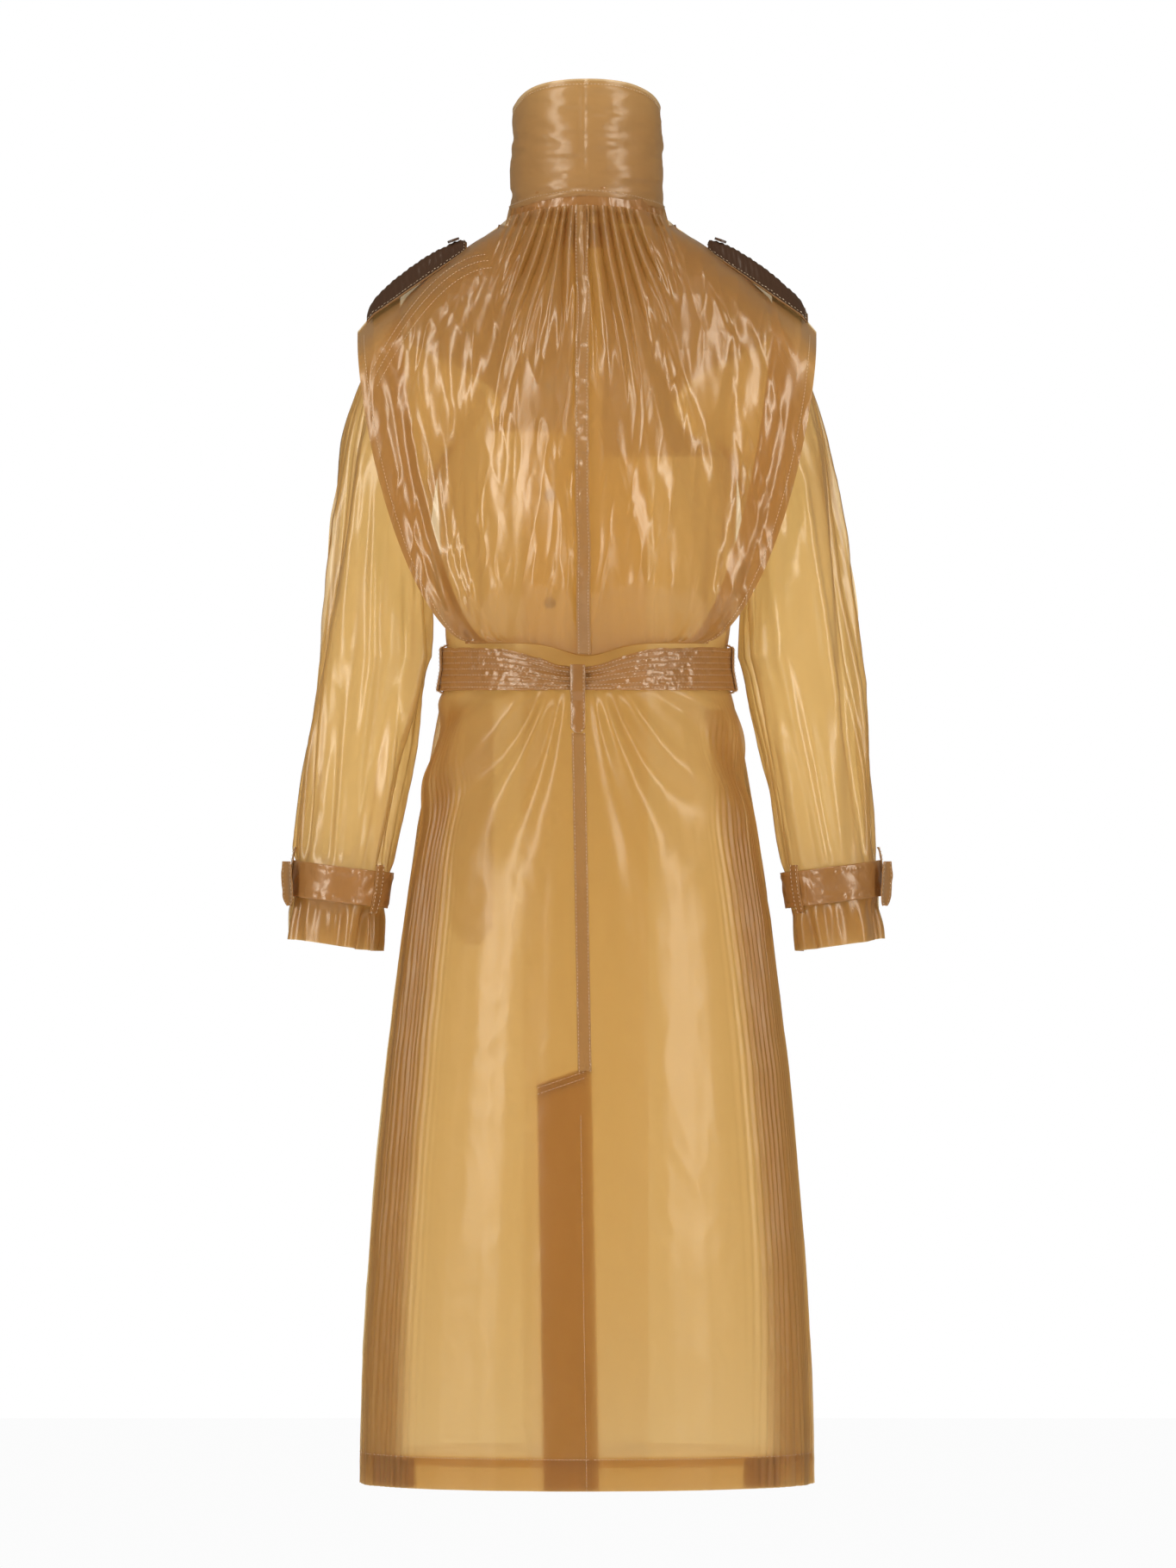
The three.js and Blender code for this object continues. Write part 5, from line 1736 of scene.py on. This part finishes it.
class CoatStudio(bpy.types.Operator):
    """Makes the pale floor, the soft lights, the white surround and the camera behind the coat"""

    bl_idname = "coat.studio"
    bl_label = "Studio"

    def execute(self, context):
        deselect()
        bpy.ops.mesh.primitive_grid_add(x_subdivisions=8, y_subdivisions=8, size=FLOOR_SIZE)
        floor = bpy.context.object
        floor.name = "floor"
        floor.data.transform(Matrix.Translation((0, 0, HEM_Z - FLOOR_DROP)))
        floor.data.materials.append(self.pale_floor())
        self.make_lights()
        self.make_surround(context)
        self.make_camera(context)
        return {"FINISHED"}

    def pale_floor(self):
        """A matt floor that looks as white as the surround and lights nothing by itself."""
        material = bpy.data.materials.new("pale floor")
        material.use_nodes = True
        tree = material.node_tree
        face = tree.nodes["Principled BSDF"]
        face.inputs["Base Color"].default_value = FLOOR_COLOUR
        face.inputs["Roughness"].default_value = 0.8
        white = add_node(tree, "ShaderNodeEmission", {"Color": FLOOR_COLOUR})
        path = tree.nodes.new("ShaderNodeLightPath")
        both = tree.nodes.new("ShaderNodeMixShader")
        wire(tree, path.outputs["Is Camera Ray"], both.inputs["Fac"])
        wire(tree, face.outputs["BSDF"], both.inputs[1])
        wire(tree, white.outputs["Emission"], both.inputs[2])
        wire(tree, both.outputs["Shader"], tree.nodes["Material Output"].inputs["Surface"])
        return material

    def make_lights(self):
        centre = (0, AXIS_Y, WAIST_Z)
        for name, place, width, height, power in LIGHTS:
            bpy.ops.object.light_add(type="AREA", location=place)
            light = bpy.context.object
            light.name = name
            light.data.shape = "RECTANGLE"
            light.data.size = width
            light.data.size_y = height
            light.data.energy = power
            aim = [c - p for c, p in zip(centre, place)]
            light.rotation_mode = "QUATERNION"
            light.rotation_quaternion = Vector(aim).to_track_quat("-Z", "Y")
            light.visible_camera = False
            light.visible_glossy = place[1] < 0

    def make_surround(self, context):
        world = bpy.data.worlds.new("white surround")
        world.use_nodes = True
        tree = world.node_tree
        tree.nodes.clear()
        seen = add_node(tree, "ShaderNodeBackground", {"Strength": 1.0})
        lit = tree.nodes.new("ShaderNodeBackground")
        direction = tree.nodes.new("ShaderNodeTexCoord")
        parts = tree.nodes.new("ShaderNodeSeparateXYZ")
        wire(tree, direction.outputs["Generated"], parts.inputs["Vector"])
        brighter = add_node(
            tree, "ShaderNodeMapRange", {"From Min": -0.2, "To Min": 0.14, "To Max": 0.36}
        )
        wire(tree, parts.outputs["Y"], brighter.inputs["Value"])
        wire(tree, brighter.outputs["Result"], lit.inputs["Strength"])
        path = tree.nodes.new("ShaderNodeLightPath")
        both = tree.nodes.new("ShaderNodeMixShader")
        out = tree.nodes.new("ShaderNodeOutputWorld")
        for ground in (seen, lit):
            ground.inputs["Color"].default_value = (1, 1, 1, 1)
        wire(tree, path.outputs["Is Camera Ray"], both.inputs["Fac"])
        wire(tree, lit.outputs["Background"], both.inputs[1])
        wire(tree, seen.outputs["Background"], both.inputs[2])
        wire(tree, both.outputs["Shader"], out.inputs["Surface"])
        context.scene.world = world
        context.scene.view_settings.view_transform = "Standard"

    def make_camera(self, context):
        lowest, highest = CAD_BOX
        picture_height = (highest.z - lowest.z) * PICTURE_HEIGHT
        middle_x, shift_z = PICTURE_SHIFT
        place = (middle_x, AXIS_Y - CAMERA_DISTANCE, (highest.z + lowest.z) / 2 + shift_z)
        bpy.ops.object.camera_add(location=place, rotation=(math.pi / 2, 0, 0))
        camera = bpy.context.object
        camera.data.sensor_width = 36
        camera.data.lens = camera.data.sensor_width * CAMERA_DISTANCE / picture_height
        camera.data.clip_end = 60
        context.scene.camera = camera


class COAT_PT_panel(bpy.types.Panel):
    """Lists the coat's steps, sizes and colours"""

    bl_label = "Trench coat"
    bl_space_type = "VIEW_3D"
    bl_region_type = "UI"
    bl_category = "Coat"

    def draw(self, context):
        for step in STEPS:
            self.layout.operator(step.bl_idname)
        for group in (context.scene.coat_sizes, context.scene.coat_colours):
            for name in group.__annotations__:
                self.layout.prop(group, name)


STEPS = (
    CoatMaterials,
    CoatBack,
    CoatFronts,
    CoatCape,
    CoatCollar,
    CoatEpaulettes,
    CoatSleeves,
    CoatCuffs,
    CoatBelt,
    CoatStudio,
)
CLASSES = (CoatSizes, CoatColours, *STEPS, COAT_PT_panel)


def register():
    for made in CLASSES:
        bpy.utils.register_class(made)
    bpy.types.Scene.coat_sizes = bpy.props.PointerProperty(type=CoatSizes)
    bpy.types.Scene.coat_colours = bpy.props.PointerProperty(type=CoatColours)


def unregister():
    del bpy.types.Scene.coat_colours
    del bpy.types.Scene.coat_sizes
    for made in reversed(CLASSES):
        bpy.utils.unregister_class(made)


def main():
    register()
    for step in STEPS:
        group, name = step.bl_idname.split(".")
        getattr(getattr(bpy.ops, group), name)()


if __name__ == "__main__":
    main()
